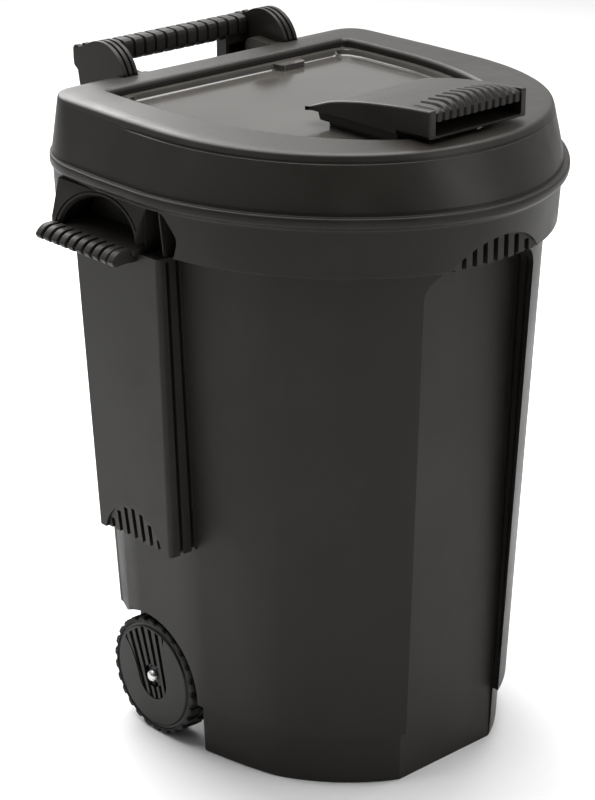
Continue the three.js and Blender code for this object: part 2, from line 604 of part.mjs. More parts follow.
function tyre() {
  const blocks = 26;
  const { radius, rimRadius, outerX, width } = wheel;
  const outline = Array.from({ length: blocks * 4 }, (_, i) => {
    const share = (Math.floor(i / 4) + [0, 0.14, 0.5, 0.64][i % 4]) / blocks;
    const r = i % 4 === 1 || i % 4 === 2 ? radius : radius - 3;
    return new THREE.Vector2(r * Math.cos(share * 2 * Math.PI), r * Math.sin(share * 2 * Math.PI));
  });
  const shape = new THREE.Shape(outline);
  const hole = new THREE.Path();
  hole.absarc(0, 0, rimRadius + fit, 0, Math.PI * 2, true);
  shape.holes.push(hole);
  const geometry = new THREE.ExtrudeGeometry(shape, { depth: width - 4, bevelEnabled: false, curveSegments: 24 });
  geometry.rotateY(Math.PI / 2);
  geometry.translate(-outerX + 3, wheel.y, wheel.radius);
  return solid(geometry);
}

function wheelBush() {
  const { outerX, width } = wheel;
  const from = -outerX + 3 + tongue.depth;
  const to = -outerX + width - 4;
  return cut(rodX(bush.outer, from, to, wheel.y, wheel.radius, 32),
    rodX(bush.inner, from - 1, to + 1, wheel.y, wheel.radius, 32));
}

function washer(outer, x0, x1) {
  return cut(rodX(outer, x0, x1, wheel.y, wheel.radius, 32),
    rodX(bush.inner, x0 - 1, x1 + 1, wheel.y, wheel.radius, 32));
}

function axleCap() {
  const from = -wheel.outerX - 2.5;
  const cup = rodX(7.5, from, -wheel.outerX + 2, wheel.y, wheel.radius, 24);
  return cut(cup, rodX(axle.radius + fit, -axle.halfLength - fit, -wheel.outerX + 10, wheel.y, wheel.radius, 24));
}

// ---- the bin ------------------------------------------------------------------------------
const bin = new THREE.Group();
const frontReach = -rim.noseY + bead.reach;
const rearReach = 291;
bin.position.y = (frontReach - rearReach) / 2;

function add(name, manifold, material) {
  const mesh = new THREE.Mesh(geometryOf(manifold), material());
  mesh.name = name;
  bin.add(mesh);
}

function addPair(name, leftManifold, material) {
  add(`${name}_left`, leftManifold, material);
  add(`${name}_right`, mirrored(leftManifold), material);
}

add('body_shell', bodyShell(), shellPlastic);
add('rear_handle', rearHandle(), shellPlastic);
add('rear_grip_sleeve', rearGripSleeve(), gripPlastic);
add('lid', lidShell(), lidPlastic);
add('hatch_flap', hatchFlap(), glossPlastic);
add('flap_grip', flapGripShell(), lidPlastic);
add('flap_grip_pad', gripPad(), gripPlastic);
addPair('side_grip', sideGrip(), gripPlastic);
addPair('lid_hinge_pin', rodX(lidHinge.pin, -136, -104, lidHinge.y, lidHinge.z), steel);
addPair('flap_hinge_pin', rodX(flapHinge.pin, -flapHinge.to, -flapHinge.from, flapHinge.y, flapHinge.z), steel);
add('axle', rodX(axle.radius, -axle.halfLength, axle.halfLength, wheel.y, wheel.radius), steel);
addPair('wheel', wheelDisc(), wheelPlastic);
addPair('tyre', tyre(), tyreRubber);
addPair('wheel_bush', wheelBush(), nylon);
addPair('inner_washer', washer(15, -wheelArch.innerX - 10.6, -wheelArch.innerX - 8.6), steel);
addPair('axle_cap', axleCap(), steel);

export default bin;
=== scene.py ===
"""The looks of a two-wheeled refuse bin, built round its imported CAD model.

Shapes are written in millimetres in the part's own drawing frame, whose zero in y lies a little off the row
frame's, and turned into metres of the row frame when a piece is finished.
"""

import math

import bmesh
import bpy
from mathutils import Matrix, Vector

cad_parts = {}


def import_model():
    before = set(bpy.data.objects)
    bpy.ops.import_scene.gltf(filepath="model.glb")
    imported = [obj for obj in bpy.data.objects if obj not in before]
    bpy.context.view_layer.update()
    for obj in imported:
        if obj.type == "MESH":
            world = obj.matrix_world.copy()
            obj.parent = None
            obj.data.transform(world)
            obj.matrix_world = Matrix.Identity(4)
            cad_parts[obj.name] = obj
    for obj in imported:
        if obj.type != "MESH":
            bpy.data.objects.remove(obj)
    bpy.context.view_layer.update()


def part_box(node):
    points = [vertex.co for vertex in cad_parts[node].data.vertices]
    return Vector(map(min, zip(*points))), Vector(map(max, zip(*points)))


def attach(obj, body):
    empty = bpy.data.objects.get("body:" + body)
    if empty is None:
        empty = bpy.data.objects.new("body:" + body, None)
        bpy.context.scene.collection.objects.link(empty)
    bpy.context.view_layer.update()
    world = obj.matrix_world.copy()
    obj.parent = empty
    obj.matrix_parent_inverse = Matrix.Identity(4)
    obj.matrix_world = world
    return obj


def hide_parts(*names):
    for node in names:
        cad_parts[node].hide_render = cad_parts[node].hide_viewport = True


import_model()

MM = 0.001

# ---- driving dimensions, in millimetres, following the CAD model's ----------------------------
FIT = 0.4
SKIN = 3.5
SKIRT_TOP = 68
SKIRT_INSET = 8
WALL_TOP = 655
WALL_LOW = {"half": 216, "rear_half": 202, "wide_y": -32, "nose_y": -258, "rear_y": 150}
WALL_HIGH = {"half": 244, "rear_half": 226, "wide_y": -32, "nose_y": -284, "rear_y": 172}
WALL_SHAPE = {"power": 1.8, "swell": 0, "shoulder_y": 108, "corner": 14, "shrink": 1, "crease": 10,
              "lead": 12}
RIM = {"half": 275, "rear_half": 272, "wide_y": 0, "nose_y": -301, "rear_y": 234}
RIM_SHAPE = {"power": 1.85, "swell": 0.0093, "shoulder_y": 70, "corner": 110, "shrink": 2.6, "crease": 0,
             "lead": 8}
BEAD_LOW, BEAD_HIGH, BEAD_REACH = 712, 730, 8
COLLAR_INSET = 8
FACET_HALF, FACET_FLARE = 78, 10
FACET_LOW_Y, FACET_HIGH_Y, FACET_TOP, FACET_CORNER = -224, -232, 653, 42
ARCH_HALF, ARCH_BASE, ARCH_RISE, ARCH_FOOT, ARCH_Y = 70, 655, 33, 645, -282
ARCH_SLOTS, ARCH_SLOT_WIDTH = 9, 7.4
PANEL_FRONT, PANEL_REAR_LOW, PANEL_REAR_HIGH = -30, 103, 121
PANEL_LOW, PANEL_HIGH, PANEL_X_LOW, PANEL_X_HIGH = 285, 648, 264, 274
PANEL_IN_LOW, PANEL_IN_HIGH = 226, 243
PANEL_ARCH_MIDDLE, PANEL_ARCH_HALF, PANEL_ARCH_RISE, PANEL_ARCH_LEAN = 38, 53, 42, 5
PANEL_SLOTS, PANEL_SLOT_WIDTH = 7, 6.6
WHEEL_R, WHEEL_Y, WHEEL_OUTER_X, WHEEL_WIDTH, WHEEL_RIM_R = 76, 66, 222, 42, 69
NOTCH_R, NOTCH_Y, NOTCH_Z, NOTCH_ROOF, NOTCH_INNER_X, TUNNEL_ROOF = 86, 70, 74, 146, 168, 98
TONGUE_ROUND, TONGUE_FLARE, TONGUE_REACH, TONGUE_TILT, TONGUE_DEPTH, TONGUE_RIBS = 26.5, 40, 55, 17, 4, 6
TONGUE_RIB_LOW, TONGUE_RIB_HIGH = 9.5, 14
WHEEL_FACE_X, WHEEL_BACK_X = -WHEEL_OUTER_X + 3, -WHEEL_OUTER_X + WHEEL_WIDTH - 4
AXLE_R, AXLE_HALF = 6, 219
BUSH_OUTER = 11
GRIP_FROM, GRIP_TO, GRIP_INNER_X, GRIP_REACH, GRIP_HEIGHT, GRIP_TOP, GRIP_RIBS = 3, 148, 284, 26, 16, 660, 9
BRACKET_FRONT, BRACKET_FRONT_LOW, BRACKET_REAR, BRACKET_LOW, BRACKET_TOP = -8, 0, 150, 653, 708
CHEEK_INNER, CHEEK_OUTER, LEG_INNER, LEG_REAR = 117, 138, 81, 282
BAR_FRONT, BAR_REAR, BAR_LOW, BAR_HIGH, BAR_RIBS = 262, 289, 790, 815, 14
HINGE_Y, HINGE_Z, KNUCKLE_R, PIN_R = 238, 781, 46.5, 4
LID_LOW, LID_TOP = 731, 793
HATCH = {"half": 190, "rear_half": 188, "wide_y": 60, "nose_y": -236, "rear_y": 160}
HATCH_SHAPE = {"power": 2, "swell": 0, "shoulder_y": 120, "corner": 7, "shrink": 0, "crease": 0, "lead": 8}
FLAP_SHAPE = {**HATCH_SHAPE, "corner": 20}
FLAP_LOW, FLAP_PANEL, FLAP_RIM, FLAP_RIM_WIDTH, FLAP_GAP = 773, 777, 784, 9, 3
FLAP_PIN_Y, FLAP_PIN_Z, FLAP_PIN_R, FLAP_PIN_FROM, FLAP_PIN_TO = 150, 778.5, 3, 164, 201
TAB_HALF, TAB_FRONT, TAB_TIP, TAB_SHELF, TAB_TOP, TAB_WALL = 76, -251, -52, 798, 830, 9
PAD_HALF, PAD_SEAT, PAD_REAR, PAD_CREST, PAD_ARCH, PAD_RIBS = 66, 825.5, -213, 12, 0.68, 12
PAD_NOSE, PAD_NOSE_DEPTH, PAD_RIB = 816.5, 7, 3

axle_low, axle_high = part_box("axle")
SHIFT_Y = (axle_low.y + axle_high.y) / 2 / MM - WHEEL_Y

# ---- mesh helpers -----------------------------------------------------------------------------


def mesh_of(points, faces):
    """A closed mesh with its faces turned outwards."""
    mesh = bpy.data.meshes.new("work")
    mesh.from_pydata([tuple(p) for p in points], [], faces)
    bm = bmesh.new()
    bm.from_mesh(mesh)
    bmesh.ops.recalc_face_normals(bm, faces=bm.faces)
    bm.to_mesh(mesh)
    bm.free()
    return mesh


def loft(rings):
    """A closed skin through rings of matching 3-D points, capped at both ends."""
    count = len(rings[0])
    faces = [
        (level * count + i, level * count + (i + 1) % count, (level + 1) * count + (i + 1) % count,
         (level + 1) * count + i)
        for level in range(len(rings) - 1)
        for i in range(count)
    ]
    last = (len(rings) - 1) * count
    faces.append(tuple(range(count)))
    faces.append(tuple(last + i for i in range(count)))
    return mesh_of([p for ring in rings for p in ring], faces)


def boolean(operation, base, others):
    """The base mesh joined with, or cut by, the other meshes."""
    collection = bpy.context.scene.collection
    target = bpy.data.objects.new("target", base)
    collection.objects.link(target)
    helpers = []
    for other in others:
        helper = bpy.data.objects.new("helper", other)
        collection.objects.link(helper)
        helpers.append(helper)
        modifier = target.modifiers.new("boolean", "BOOLEAN")
        modifier.solver = "MANIFOLD"
        modifier.operation = operation
        modifier.object = helper
    depsgraph = bpy.context.evaluated_depsgraph_get()
    made = bpy.data.meshes.new_from_object(target.evaluated_get(depsgraph))
    for thing in [target, *helpers]:
        bpy.data.objects.remove(thing)
    return made


def join(base, *others):
    return boolean("UNION", base, others)


def cut(base, *others):
    return boolean("DIFFERENCE", base, others)


def common(base, other):
    return boolean("INTERSECT", base, [other])


def mirrored(mesh):
    """A copy of the mesh on the other side of the bin."""
    copy = mesh.copy()
    copy.transform(Matrix.Diagonal((-1, 1, 1, 1)))
    copy.flip_normals()
    return copy


def rounded(points, radius, steps=4, closed=True):
    """A 2-D outline with each corner replaced by a curve that starts about a radius away from it."""
    count = len(points)
    made = []
    for i, point in enumerate(points):
        here = Vector(point)
        reach = radius[i] if isinstance(radius, (list, tuple)) else radius
        at_end = not closed and i in (0, count - 1)
        if reach <= 0 or at_end:
            made.append(tuple(here))
            continue
        back = Vector(points[i - 1]) - here
        on = Vector(points[(i + 1) % count]) - here
        start = here + back.normalized() * min(reach, 0.49 * back.length)
        end = here + on.normalized() * min(reach, 0.49 * on.length)
        for k in range(steps + 1):
            t = k / steps
            made.append(tuple(start * (1 - t) ** 2 + here * 2 * t * (1 - t) + end * t ** 2))
    return made


def box(x0, x1, y0, y1, z0, z1):
    return loft([[(x0, y0, z), (x1, y0, z), (x1, y1, z), (x0, y1, z)] for z in (z0, z1)])


def across_x(outline, stations):
    """A prism across the bin through an outline of (y, z) points."""
    return loft([[(x, y, z) for y, z in outline] for x in stations])


def along_y(outline, y0, y1):
    """A prism from front to back through an outline of (x, z) points."""
    return loft([[(x, y, z) for x, z in outline] for y in (y0, y1)])


def along_z(outline, z0, z1):
    return loft([[(x, y, z) for x, y in outline] for z in (z0, z1)])


def arc(centre_a, centre_b, radius, start, end, steps):
    """Points on an arc between two angles in degrees."""
    made = []
    for i in range(steps + 1):
        angle = math.radians(start + (end - start) * i / steps)
        made.append((centre_a + radius * math.cos(angle), centre_b + radius * math.sin(angle)))
    return made


def turned(profile, y, z, segments=96):
    """A body of revolution about a line across the bin; the profile is a closed list of (radius, x)."""
    points, faces = [], []
    count = len(profile)
    on_axis = profile[0][0] == 0 and profile[-1][0] == 0
    for s in range(segments):
        angle = 2 * math.pi * s / segments
        points += [(x, y + r * math.cos(angle), z + r * math.sin(angle)) for r, x in profile]
    last = count - 1 if on_axis else count
    for s in range(segments):
        here, there = s * count, (s + 1) % segments * count
        for i in range(last):
            after = (i + 1) % count
            faces.append((here + i, here + after, there + after, there + i))
    mesh = mesh_of(points, faces)
    bm = bmesh.new()
    bm.from_mesh(mesh)
    bmesh.ops.remove_doubles(bm, verts=bm.verts, dist=1e-4)
    bmesh.ops.recalc_face_normals(bm, faces=bm.faces)
    bm.to_mesh(mesh)
    bm.free()
    return mesh


def rod_x(radius, x0, x1, y, z, chamfer=0.0, segments=96):
    """A round bar across the bin, with its ends chamfered."""
    profile = [(0, x0), (radius - chamfer, x0), (radius, x0 + chamfer), (radius, x1 - chamfer),
               (radius - chamfer, x1), (0, x1)]
    if not chamfer:
        profile = [(0, x0), (radius, x0), (radius, x1), (0, x1)]
    return turned(profile, y, z, segments)


def smooth_step(value, low, high):
    t = min(max((value - low) / (high - low), 0), 1)
    return t * t * (3 - 2 * t)


def lerp(a, b, share):
    return a + (b - a) * share


# ---- plan outlines ----------------------------------------------------------------------------


def plan(size, shape, inset=0.0):
    """The bin seen from above: a rounded bow in front, straight sides, rounded rear corners.

    Drawn in by an inset, its rear corners tighten by the shape's shrink and its bow squares up by the
    shape's swell. A crease, in degrees, turns the bow away from the flat sides with an edge, as far behind
    the bow's widest line as the shape's lead.
    """
    bow_steps, side_steps, corner_steps = 48, 5, 16
    ease_from, tightest = 0.86, 2
    half = size["half"] - inset
    nose = size["nose_y"] + inset
    rear = size["rear_y"] - inset
    rear_half = size["rear_half"] - inset
    corner = max(shape["corner"] - shape["shrink"] * inset, tightest)
    power = shape["power"] + shape["swell"] * max(inset, 0)
    side_angle = math.acos(ease_from ** (power / 2)) if shape["crease"] else 0
    right = []
    for i in range(bow_steps + 1):
        angle = lerp(math.pi / 2, side_angle, i / bow_steps)
        across = half * math.cos(angle) ** (2 / power)
        right.append((across, size["wide_y"] - (size["wide_y"] - nose) * math.sin(angle) ** (2 / power)))
    edge_y = size["wide_y"] + shape["lead"]
    if shape["crease"]:
        right += eased_to((half, edge_y), right, shape["crease"])
    for i in range(1 if shape["crease"] else 0, side_steps + 1):
        right.append((half, lerp(edge_y, shape["shoulder_y"], i / side_steps)))
    right += arc(rear_half - corner, rear - corner, corner, 0, 90, corner_steps)
    left = [(-x, y) for x, y in reversed(right[1:])]
    return right + left


def eased_to(edge, bow, crease, steps=12):
    """Points from the end of a bow to the edge of a flat side, meeting that side at the crease's angle."""
    before, end = Vector(bow[-2]), Vector(bow[-1])
    edge = Vector(edge)
    lean = math.radians(crease)
    along = Vector((-math.sin(lean), -math.cos(lean)))
    tangent = end - before
    reach = (end - edge).cross(tangent) / along.cross(tangent)
    control = edge + along * reach
    made = []
    for i in range(1, steps + 1):
        t = i / steps
        made.append(tuple(end * (1 - t) ** 2 + control * 2 * t * (1 - t) + edge * t ** 2))
    return made


def between(low, high, share):
    return {key: lerp(low[key], high[key], share) for key in low}


def wall_at(z, inset=0.0):
    share = (z - SKIRT_TOP) / (WALL_TOP - SKIRT_TOP)
    return [(x, y, z) for x, y in plan(between(WALL_LOW, WALL_HIGH, share), WALL_SHAPE, inset)]


def rim_at(z, inset):
    return [(x, y, z) for x, y in plan(RIM, RIM_SHAPE, inset)]


def hatch_at(z, inset, shape=HATCH_SHAPE):
    return [(x, y, z) for x, y in plan(HATCH, shape, inset)]


def ring_stack(levels):
    return loft([rim_at(z, inset) for z, inset in levels])


# ---- finished pieces --------------------------------------------------------------------------


def piece(name, mesh, body, nodes, material, bevel=0.8, angle=28, segments=2):
    """Puts a finished mesh in the scene as a piece that rides on a body and stands for its CAD nodes."""
    mesh.transform(Matrix.Diagonal((MM, MM, MM, 1)) @ Matrix.Translation((0, SHIFT_Y, 0)))
    mesh.name = name
    mesh.materials.clear()
    mesh.materials.append(material)
    mesh.shade_smooth()
    obj = bpy.data.objects.new(name, mesh)
    bpy.context.scene.collection.objects.link(obj)
    weld = obj.modifiers.new("weld", "WELD")
    weld.merge_threshold = 0.05 * MM
    if bevel:
        edge = obj.modifiers.new("edge", "BEVEL")
        edge.width = bevel * MM
        edge.segments = segments
        edge.limit_method = "ANGLE"
        edge.angle_limit = math.radians(angle)
        edge.harden_normals = True
        edge.use_clamp_overlap = True
    mesh.set_sharp_from_angle(angle=math.radians(60 if bevel else angle))
    weighted = obj.modifiers.new("weighted", "WEIGHTED_NORMAL")
    weighted.keep_sharp = True
    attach(obj, body)
    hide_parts(*nodes)
    return obj


# ---- materials --------------------------------------------------------------------------------


class Shader:
    """A small builder for one procedural material."""

    def __init__(self, name):
        self.material = bpy.data.materials.new(name)
        self.material.use_nodes = True
        self.tree = self.material.node_tree
        self.bsdf = self.tree.nodes["Principled BSDF"]
        self.where = self.node("ShaderNodeTexCoord").outputs["Object"]

    def node(self, kind, **settings):
        made = self.tree.nodes.new(kind)
        for key, value in settings.items():
            if key in made.bl_rna.properties:
                setattr(made, key, value)
            else:
                made.inputs[key.replace("_", " ")].default_value = value
        return made

    def link(self, source, target):
        self.tree.links.new(source, target)

    def noise(self, scale, detail=3.0, roughness=0.5, stretch=None):
        made = self.node("ShaderNodeTexNoise", Scale=scale, Detail=detail, Roughness=roughness)
        source = self.where
        if stretch:
            mapping = self.node("ShaderNodeMapping")
            mapping.inputs["Scale"].default_value = stretch
            self.link(source, mapping.inputs["Vector"])
            source = mapping.outputs["Vector"]
        self.link(source, made.inputs["Vector"])
        return made.outputs["Fac"]

    def spread(self, source, low_in, high_in, low_out, high_out):
        made = self.node("ShaderNodeMapRange")
        limits = {"From Min": low_in, "From Max": high_in, "To Min": low_out, "To Max": high_out}
        for key, value in limits.items():
            made.inputs[key].default_value = value
        self.link(source, made.inputs["Value"])
        return made.outputs["Result"]

    def blend(self, share, colour_a, colour_b):
        made = self.node("ShaderNodeMix", data_type="RGBA")
        self.link(share, made.inputs["Factor"])
        for socket, colour in ((made.inputs[6], colour_a), (made.inputs[7], colour_b)):
            if isinstance(colour, tuple):
                socket.default_value = (*colour, 1)
            else:
                self.link(colour, socket)
        return made.outputs[2]

    def add(self, first, second, operation="ADD"):
        made = self.node("ShaderNodeMath", operation=operation)
        self.link(first, made.inputs[0])
        if isinstance(second, (int, float)):
            made.inputs[1].default_value = second
        else:
            self.link(second, made.inputs[1])
        return made.outputs[0]

    def bump(self, height, distance, strength=1.0, onto=None):
        made = self.node("ShaderNodeBump", Distance=distance, Strength=strength)
        self.link(height, made.inputs["Height"])
        if onto:
            self.link(onto, made.inputs["Normal"])
        return made.outputs["Normal"]


def moulded(name, colour, roughness, grain=900, depth=0.05, patch=0.12, scuff=0.14, specular=0.28):
    """Moulded plastic: fine spark-eroded grain, faint flow marks, patchy gloss, pale scuffs."""
    s = Shader(name)
    pale = tuple(min(c * 1.35 + 0.004, 1) for c in colour)
    worn = tuple(min(c * 2.2 + 0.02, 1) for c in colour)
    s.bsdf.inputs["Specular IOR Level"].default_value = specular
    cloud = s.spread(s.noise(7, 4), 0.35, 0.65, 0, 1)
    flow = s.spread(s.noise(9, 3, 0.5, (1, 1, 0.22)), 0.35, 0.65, 0, 1)
    tone = s.blend(s.add(cloud, flow, "MULTIPLY"), colour, pale)
    scratch = s.spread(s.noise(60, 5, 0.62, (1.0, 1.0, 0.16)), 0.66, 0.78, 0, scuff)
    fleck = s.spread(s.noise(260, 2), 0.72, 0.8, 0, scuff)
    marks = s.add(s.add(scratch, cloud, "MULTIPLY"), fleck, "MAXIMUM")
    s.link(s.blend(marks, tone, worn), s.bsdf.inputs["Base Color"])
    uneven = s.add(cloud, s.noise(45, 4), "MULTIPLY")
    gloss = s.spread(uneven, 0, 0.6, roughness - patch / 2, roughness + patch / 2)
    s.link(gloss, s.bsdf.inputs["Roughness"])
    wave = s.bump(s.noise(5, 1, 0.4), 0.9 * MM, 0.5)
    fine = s.bump(s.noise(grain, 3, 0.55), depth * MM, 0.8, wave)
    s.link(fine, s.bsdf.inputs["Normal"])
    return s.material


def rubber(name, colour):
    """Dusty tyre rubber."""
    s = Shader(name)
    dust = s.spread(s.noise(55, 5, 0.65), 0.42, 0.72, 0, 0.3)
    s.link(s.blend(dust, colour, (0.055, 0.05, 0.044)), s.bsdf.inputs["Base Color"])
    s.link(s.spread(s.noise(90, 3), 0.3, 0.7, 0.72, 0.92), s.bsdf.inputs["Roughness"])
    s.link(s.bump(s.noise(1200, 3), 0.08 * MM), s.bsdf.inputs["Normal"])
    return s.material


def plated(name):
    """Zinc-plated steel with turning marks and a few dull blotches."""
    s = Shader(name)
    blotch = s.spread(s.noise(120, 4), 0.45, 0.65, 0, 1)
    s.link(s.blend(blotch, (0.72, 0.72, 0.71), (0.5, 0.49, 0.46)), s.bsdf.inputs["Base Color"])
    s.bsdf.inputs["Metallic"].default_value = 1
    s.link(s.spread(s.noise(300, 3), 0.3, 0.7, 0.2, 0.38), s.bsdf.inputs["Roughness"])
    s.link(s.bump(s.noise(700, 2, 0.5, (6, 1, 1)), 0.02 * MM), s.bsdf.inputs["Normal"])
    return s.material


SHELL = moulded("shell_plastic", (0.0128, 0.0110, 0.0092), 0.46, specular=0.2)
LID = moulded("lid_plastic", (0.0150, 0.0130, 0.0108), 0.42, specular=0.25)
GLOSS = moulded("flap_plastic", (0.040, 0.037, 0.033), 0.13, grain=500, depth=0.01,
                patch=0.06, scuff=0.05, specular=0.5)
GRIP = moulded("grip_plastic", (0.0120, 0.0106, 0.0092), 0.5, grain=1100, depth=0.07, specular=0.22)
WHEEL = moulded("wheel_plastic", (0.0090, 0.0080, 0.0070), 0.36, grain=800, depth=0.03, specular=0.22)
TYRE = rubber("tyre_rubber", (0.005, 0.0045, 0.004))
NYLON = moulded("nylon", (0.02, 0.02, 0.02), 0.45, grain=700, depth=0.02, scuff=0.1)
STEEL = plated("zinc_steel")

# ---- lid --------------------------------------------------------------------------------------


def lid_ring(rise, inset, groove=0.0):
    """One ring of the lid's skin; a groove, if any, is cut in along the bow and fades out down the sides."""
    plain = rim_at(LID_LOW + rise, inset)
    sunk = rim_at(LID_LOW + rise, inset + groove)
    return [
        tuple(Vector(a).lerp(Vector(b), smooth_step(-a[1], -120, 60)))
        for a, b in zip(plain, sunk)
    ]


def lid_mesh():
    groove = 1.6
    skirt = rounded([(0, 1), (14, 7), (49, 21.2)], [0, 9, 0], steps=5, closed=False)
    ridge = [(50.2, 21.6, 0), (51, 21.9, groove), (53, 22.7, groove), (53.8, 23, 0)]
    crown = rounded([(54.2, 23.2), (60.5, 26.5), (62, 44)], [0, 6.5, 0], steps=7, closed=False)
    rings = [lid_ring(rise, inset) for rise, inset in skirt]
    rings += [lid_ring(*level) for level in ridge]
    rings += [lid_ring(rise, inset) for rise, inset in crown]
    outer = loft(rings)
    inner_levels = ((-1, 1 + SKIN), (13, 7 + SKIN), (53, 23 + SKIN), (58.5, 46))
    inner = loft([lid_ring(*level) for level in inner_levels])
    frame_wall = loft([hatch_at(768, -SKIN), hatch_at(LID_TOP - 1, -SKIN)])
    lip = [(760, 0), (787.5, 0), (789.5, -0.6), (791.3, -1.9), (792.4, -3.6), (793.2, -6), (800, -6)]
    opening = loft([hatch_at(z, inset) for z, inset in lip])
    ledge = cut(
        loft([hatch_at(766, -1), hatch_at(FLAP_LOW - 1, -1)]),
        loft([hatch_at(760, FLAP_RIM_WIDTH), hatch_at(780, FLAP_RIM_WIDTH)]),
        box(-300, 300, 138, 300, 750, 800),
    )
    boss = box(HATCH["half"] + 1, FLAP_PIN_TO + 3, 142, 158, 770, LID_TOP - 2)
    scoop_outline = rounded([(182, 800), (206, 788), (240, 770), (280, 770), (280, 800)], [0, 16, 16, 0, 0])
    scoop = across_x(scoop_outline, (-98, 98))
    shell = join(cut(outer, inner), frame_wall, boss, mirrored(boss))
    shell = join(cut(shell, opening, scoop), ledge)
    ear_x = (100, CHEEK_INNER - 0.5)
    ear = join(
        rod_x(12, *ear_x, HINGE_Y, HINGE_Z, 0.8),
        across_x([(204, 762), (238, 770), (238, LID_TOP), (200, LID_TOP - 3)], ear_x),
    )
    notch_x = (CHEEK_INNER - 0.8, CHEEK_OUTER + 1)
    notch = join(
        rod_x(KNUCKLE_R + 1.5, *notch_x, HINGE_Y, HINGE_Z),
        box(*notch_x, 205, 280, 736, 800),
    )
    eared = join(cut(shell, notch, mirrored(notch)), ear, mirrored(ear))
    lid_pin = rod_x(PIN_R + FIT, 103.6, 130, HINGE_Y, HINGE_Z, segments=32)
    flap_pin = rod_x(FLAP_PIN_R + FIT, 150, FLAP_PIN_TO + FIT, FLAP_PIN_Y, FLAP_PIN_Z, segments=32)
    return cut(eared, lid_pin, mirrored(lid_pin), flap_pin, mirrored(flap_pin))


# ---- hatch flap and its grip ------------------------------------------------------------------


def flap_mesh():
    rim_top = [(FLAP_LOW, FLAP_GAP), (FLAP_RIM - 1.2, FLAP_GAP), (FLAP_RIM - 0.3, FLAP_GAP + 0.5),
               (FLAP_RIM, FLAP_GAP + 1.5)]
    plate = loft([hatch_at(z, inset, FLAP_SHAPE) for z, inset in rim_top])
    inner = FLAP_GAP + FLAP_RIM_WIDTH
    sunk = loft([hatch_at(z, inset, FLAP_SHAPE) for z, inset in (
        (FLAP_PANEL, inner + 5), (FLAP_PANEL + 0.5, inner + 3.2), (FLAP_PANEL + 1.6, inner + 1.8),
        (FLAP_RIM - 1.5, inner + 0.4), (FLAP_RIM + 0.1, inner - 0.6), (FLAP_RIM + 5, inner - 0.6))])
    boss = box(FLAP_PIN_FROM - 2, HATCH["half"] - 10, 144, 154, FLAP_LOW, FLAP_RIM)
    tab_outline = rounded([(57, 151), (60, 133), (97, 133), (100, 151)], [0, 5, 5, 0])
    tab = along_z(tab_outline, FLAP_LOW, FLAP_RIM)
    pin = rod_x(FLAP_PIN_R + FIT, FLAP_PIN_FROM - FIT, 210, FLAP_PIN_Y, FLAP_PIN_Z, segments=32)
    return cut(join(cut(plate, sunk), boss, mirrored(boss), tab), pin, mirrored(pin))


def pillow(outline, half, radius, steps=5):
    """A prism across the bin whose end edges are rounded, by drawing the outline in towards its ends."""
    count = len(outline)
    normals = []
    for i in range(count):
        along = Vector(outline[(i + 1) % count]) - Vector(outline[i - 1])
        normals.append(Vector((along.y, -along.x)).normalized())
    area = sum(a[0] * b[1] - b[0] * a[1] for a, b in zip(outline, outline[1:] + outline[:1]))
    outward = 1 if area > 0 else -1
    stations = []
    for k in range(steps + 1):
        angle = math.pi / 2 * k / steps
        stations.append((half - radius * (1 - math.sin(angle)), radius * (1 - math.cos(angle))))
    rings = []
    for x, inset in [(-x, inset) for x, inset in reversed(stations)] + stations:
        rings.append([
            (x, y - outward * inset * normal.x, z - outward * inset * normal.y)
            for (y, z), normal in zip(outline, normals)
        ])
    return loft(rings)


def flap_grip_mesh():
    """A visor on a narrower plinth, open at the front for the fingers."""
    seat = FLAP_RIM + FIT
    ledge = seat + 9
    crown = [(TAB_TIP, ledge + 1), (-64, 800), (-95, 811), (-143, 820), (-205, 827), (TAB_FRONT, TAB_TOP)]
    outline = rounded([(TAB_FRONT, TAB_SHELF), (-200, TAB_SHELF), (-200, ledge), (-56, ledge), *crown],
                      [1.5, 0, 0, 1.5, 1.5, 5, 14, 20, 20, 2.5], steps=5)
    visor = pillow(outline, TAB_HALF, 3)
    plinth_outline = [(-197, seat), (-197, ledge + 2), (TAB_TIP - 18, ledge + 2), (TAB_TIP - 22, seat)]
    plinth_outline = rounded(plinth_outline, [0, 0, 0, 2])
    plinth = across_x(plinth_outline, (-TAB_HALF + 5, TAB_HALF - 5))
    foot = box(-62, 62, -190, -80, FLAP_PANEL + FIT, seat + 1)
    roof = PAD_SEAT - 3
    inner = TAB_HALF - TAB_WALL
    mouth = rounded(
        [(TAB_FRONT - 5, TAB_SHELF + 3), (-198, TAB_SHELF + 3), (-190, seat + 5), (-96, seat + 5), (-96, 804),
         (-140, 813), (PAD_REAR, roof), (TAB_FRONT - 5, roof)], [0, 4, 4, 4, 5, 8, 8, 0])
    cavity = pillow(mouth, inner, 3)
    pad_room = box(-inner, inner, TAB_FRONT - 5, PAD_REAR, PAD_SEAT, TAB_TOP + 5)
    lip = box(-inner, inner, TAB_FRONT - 5, TAB_FRONT + 8, PAD_NOSE - 1, PAD_SEAT + 1)
    return cut(join(visor, plinth, foot), cavity, pad_room, lip)


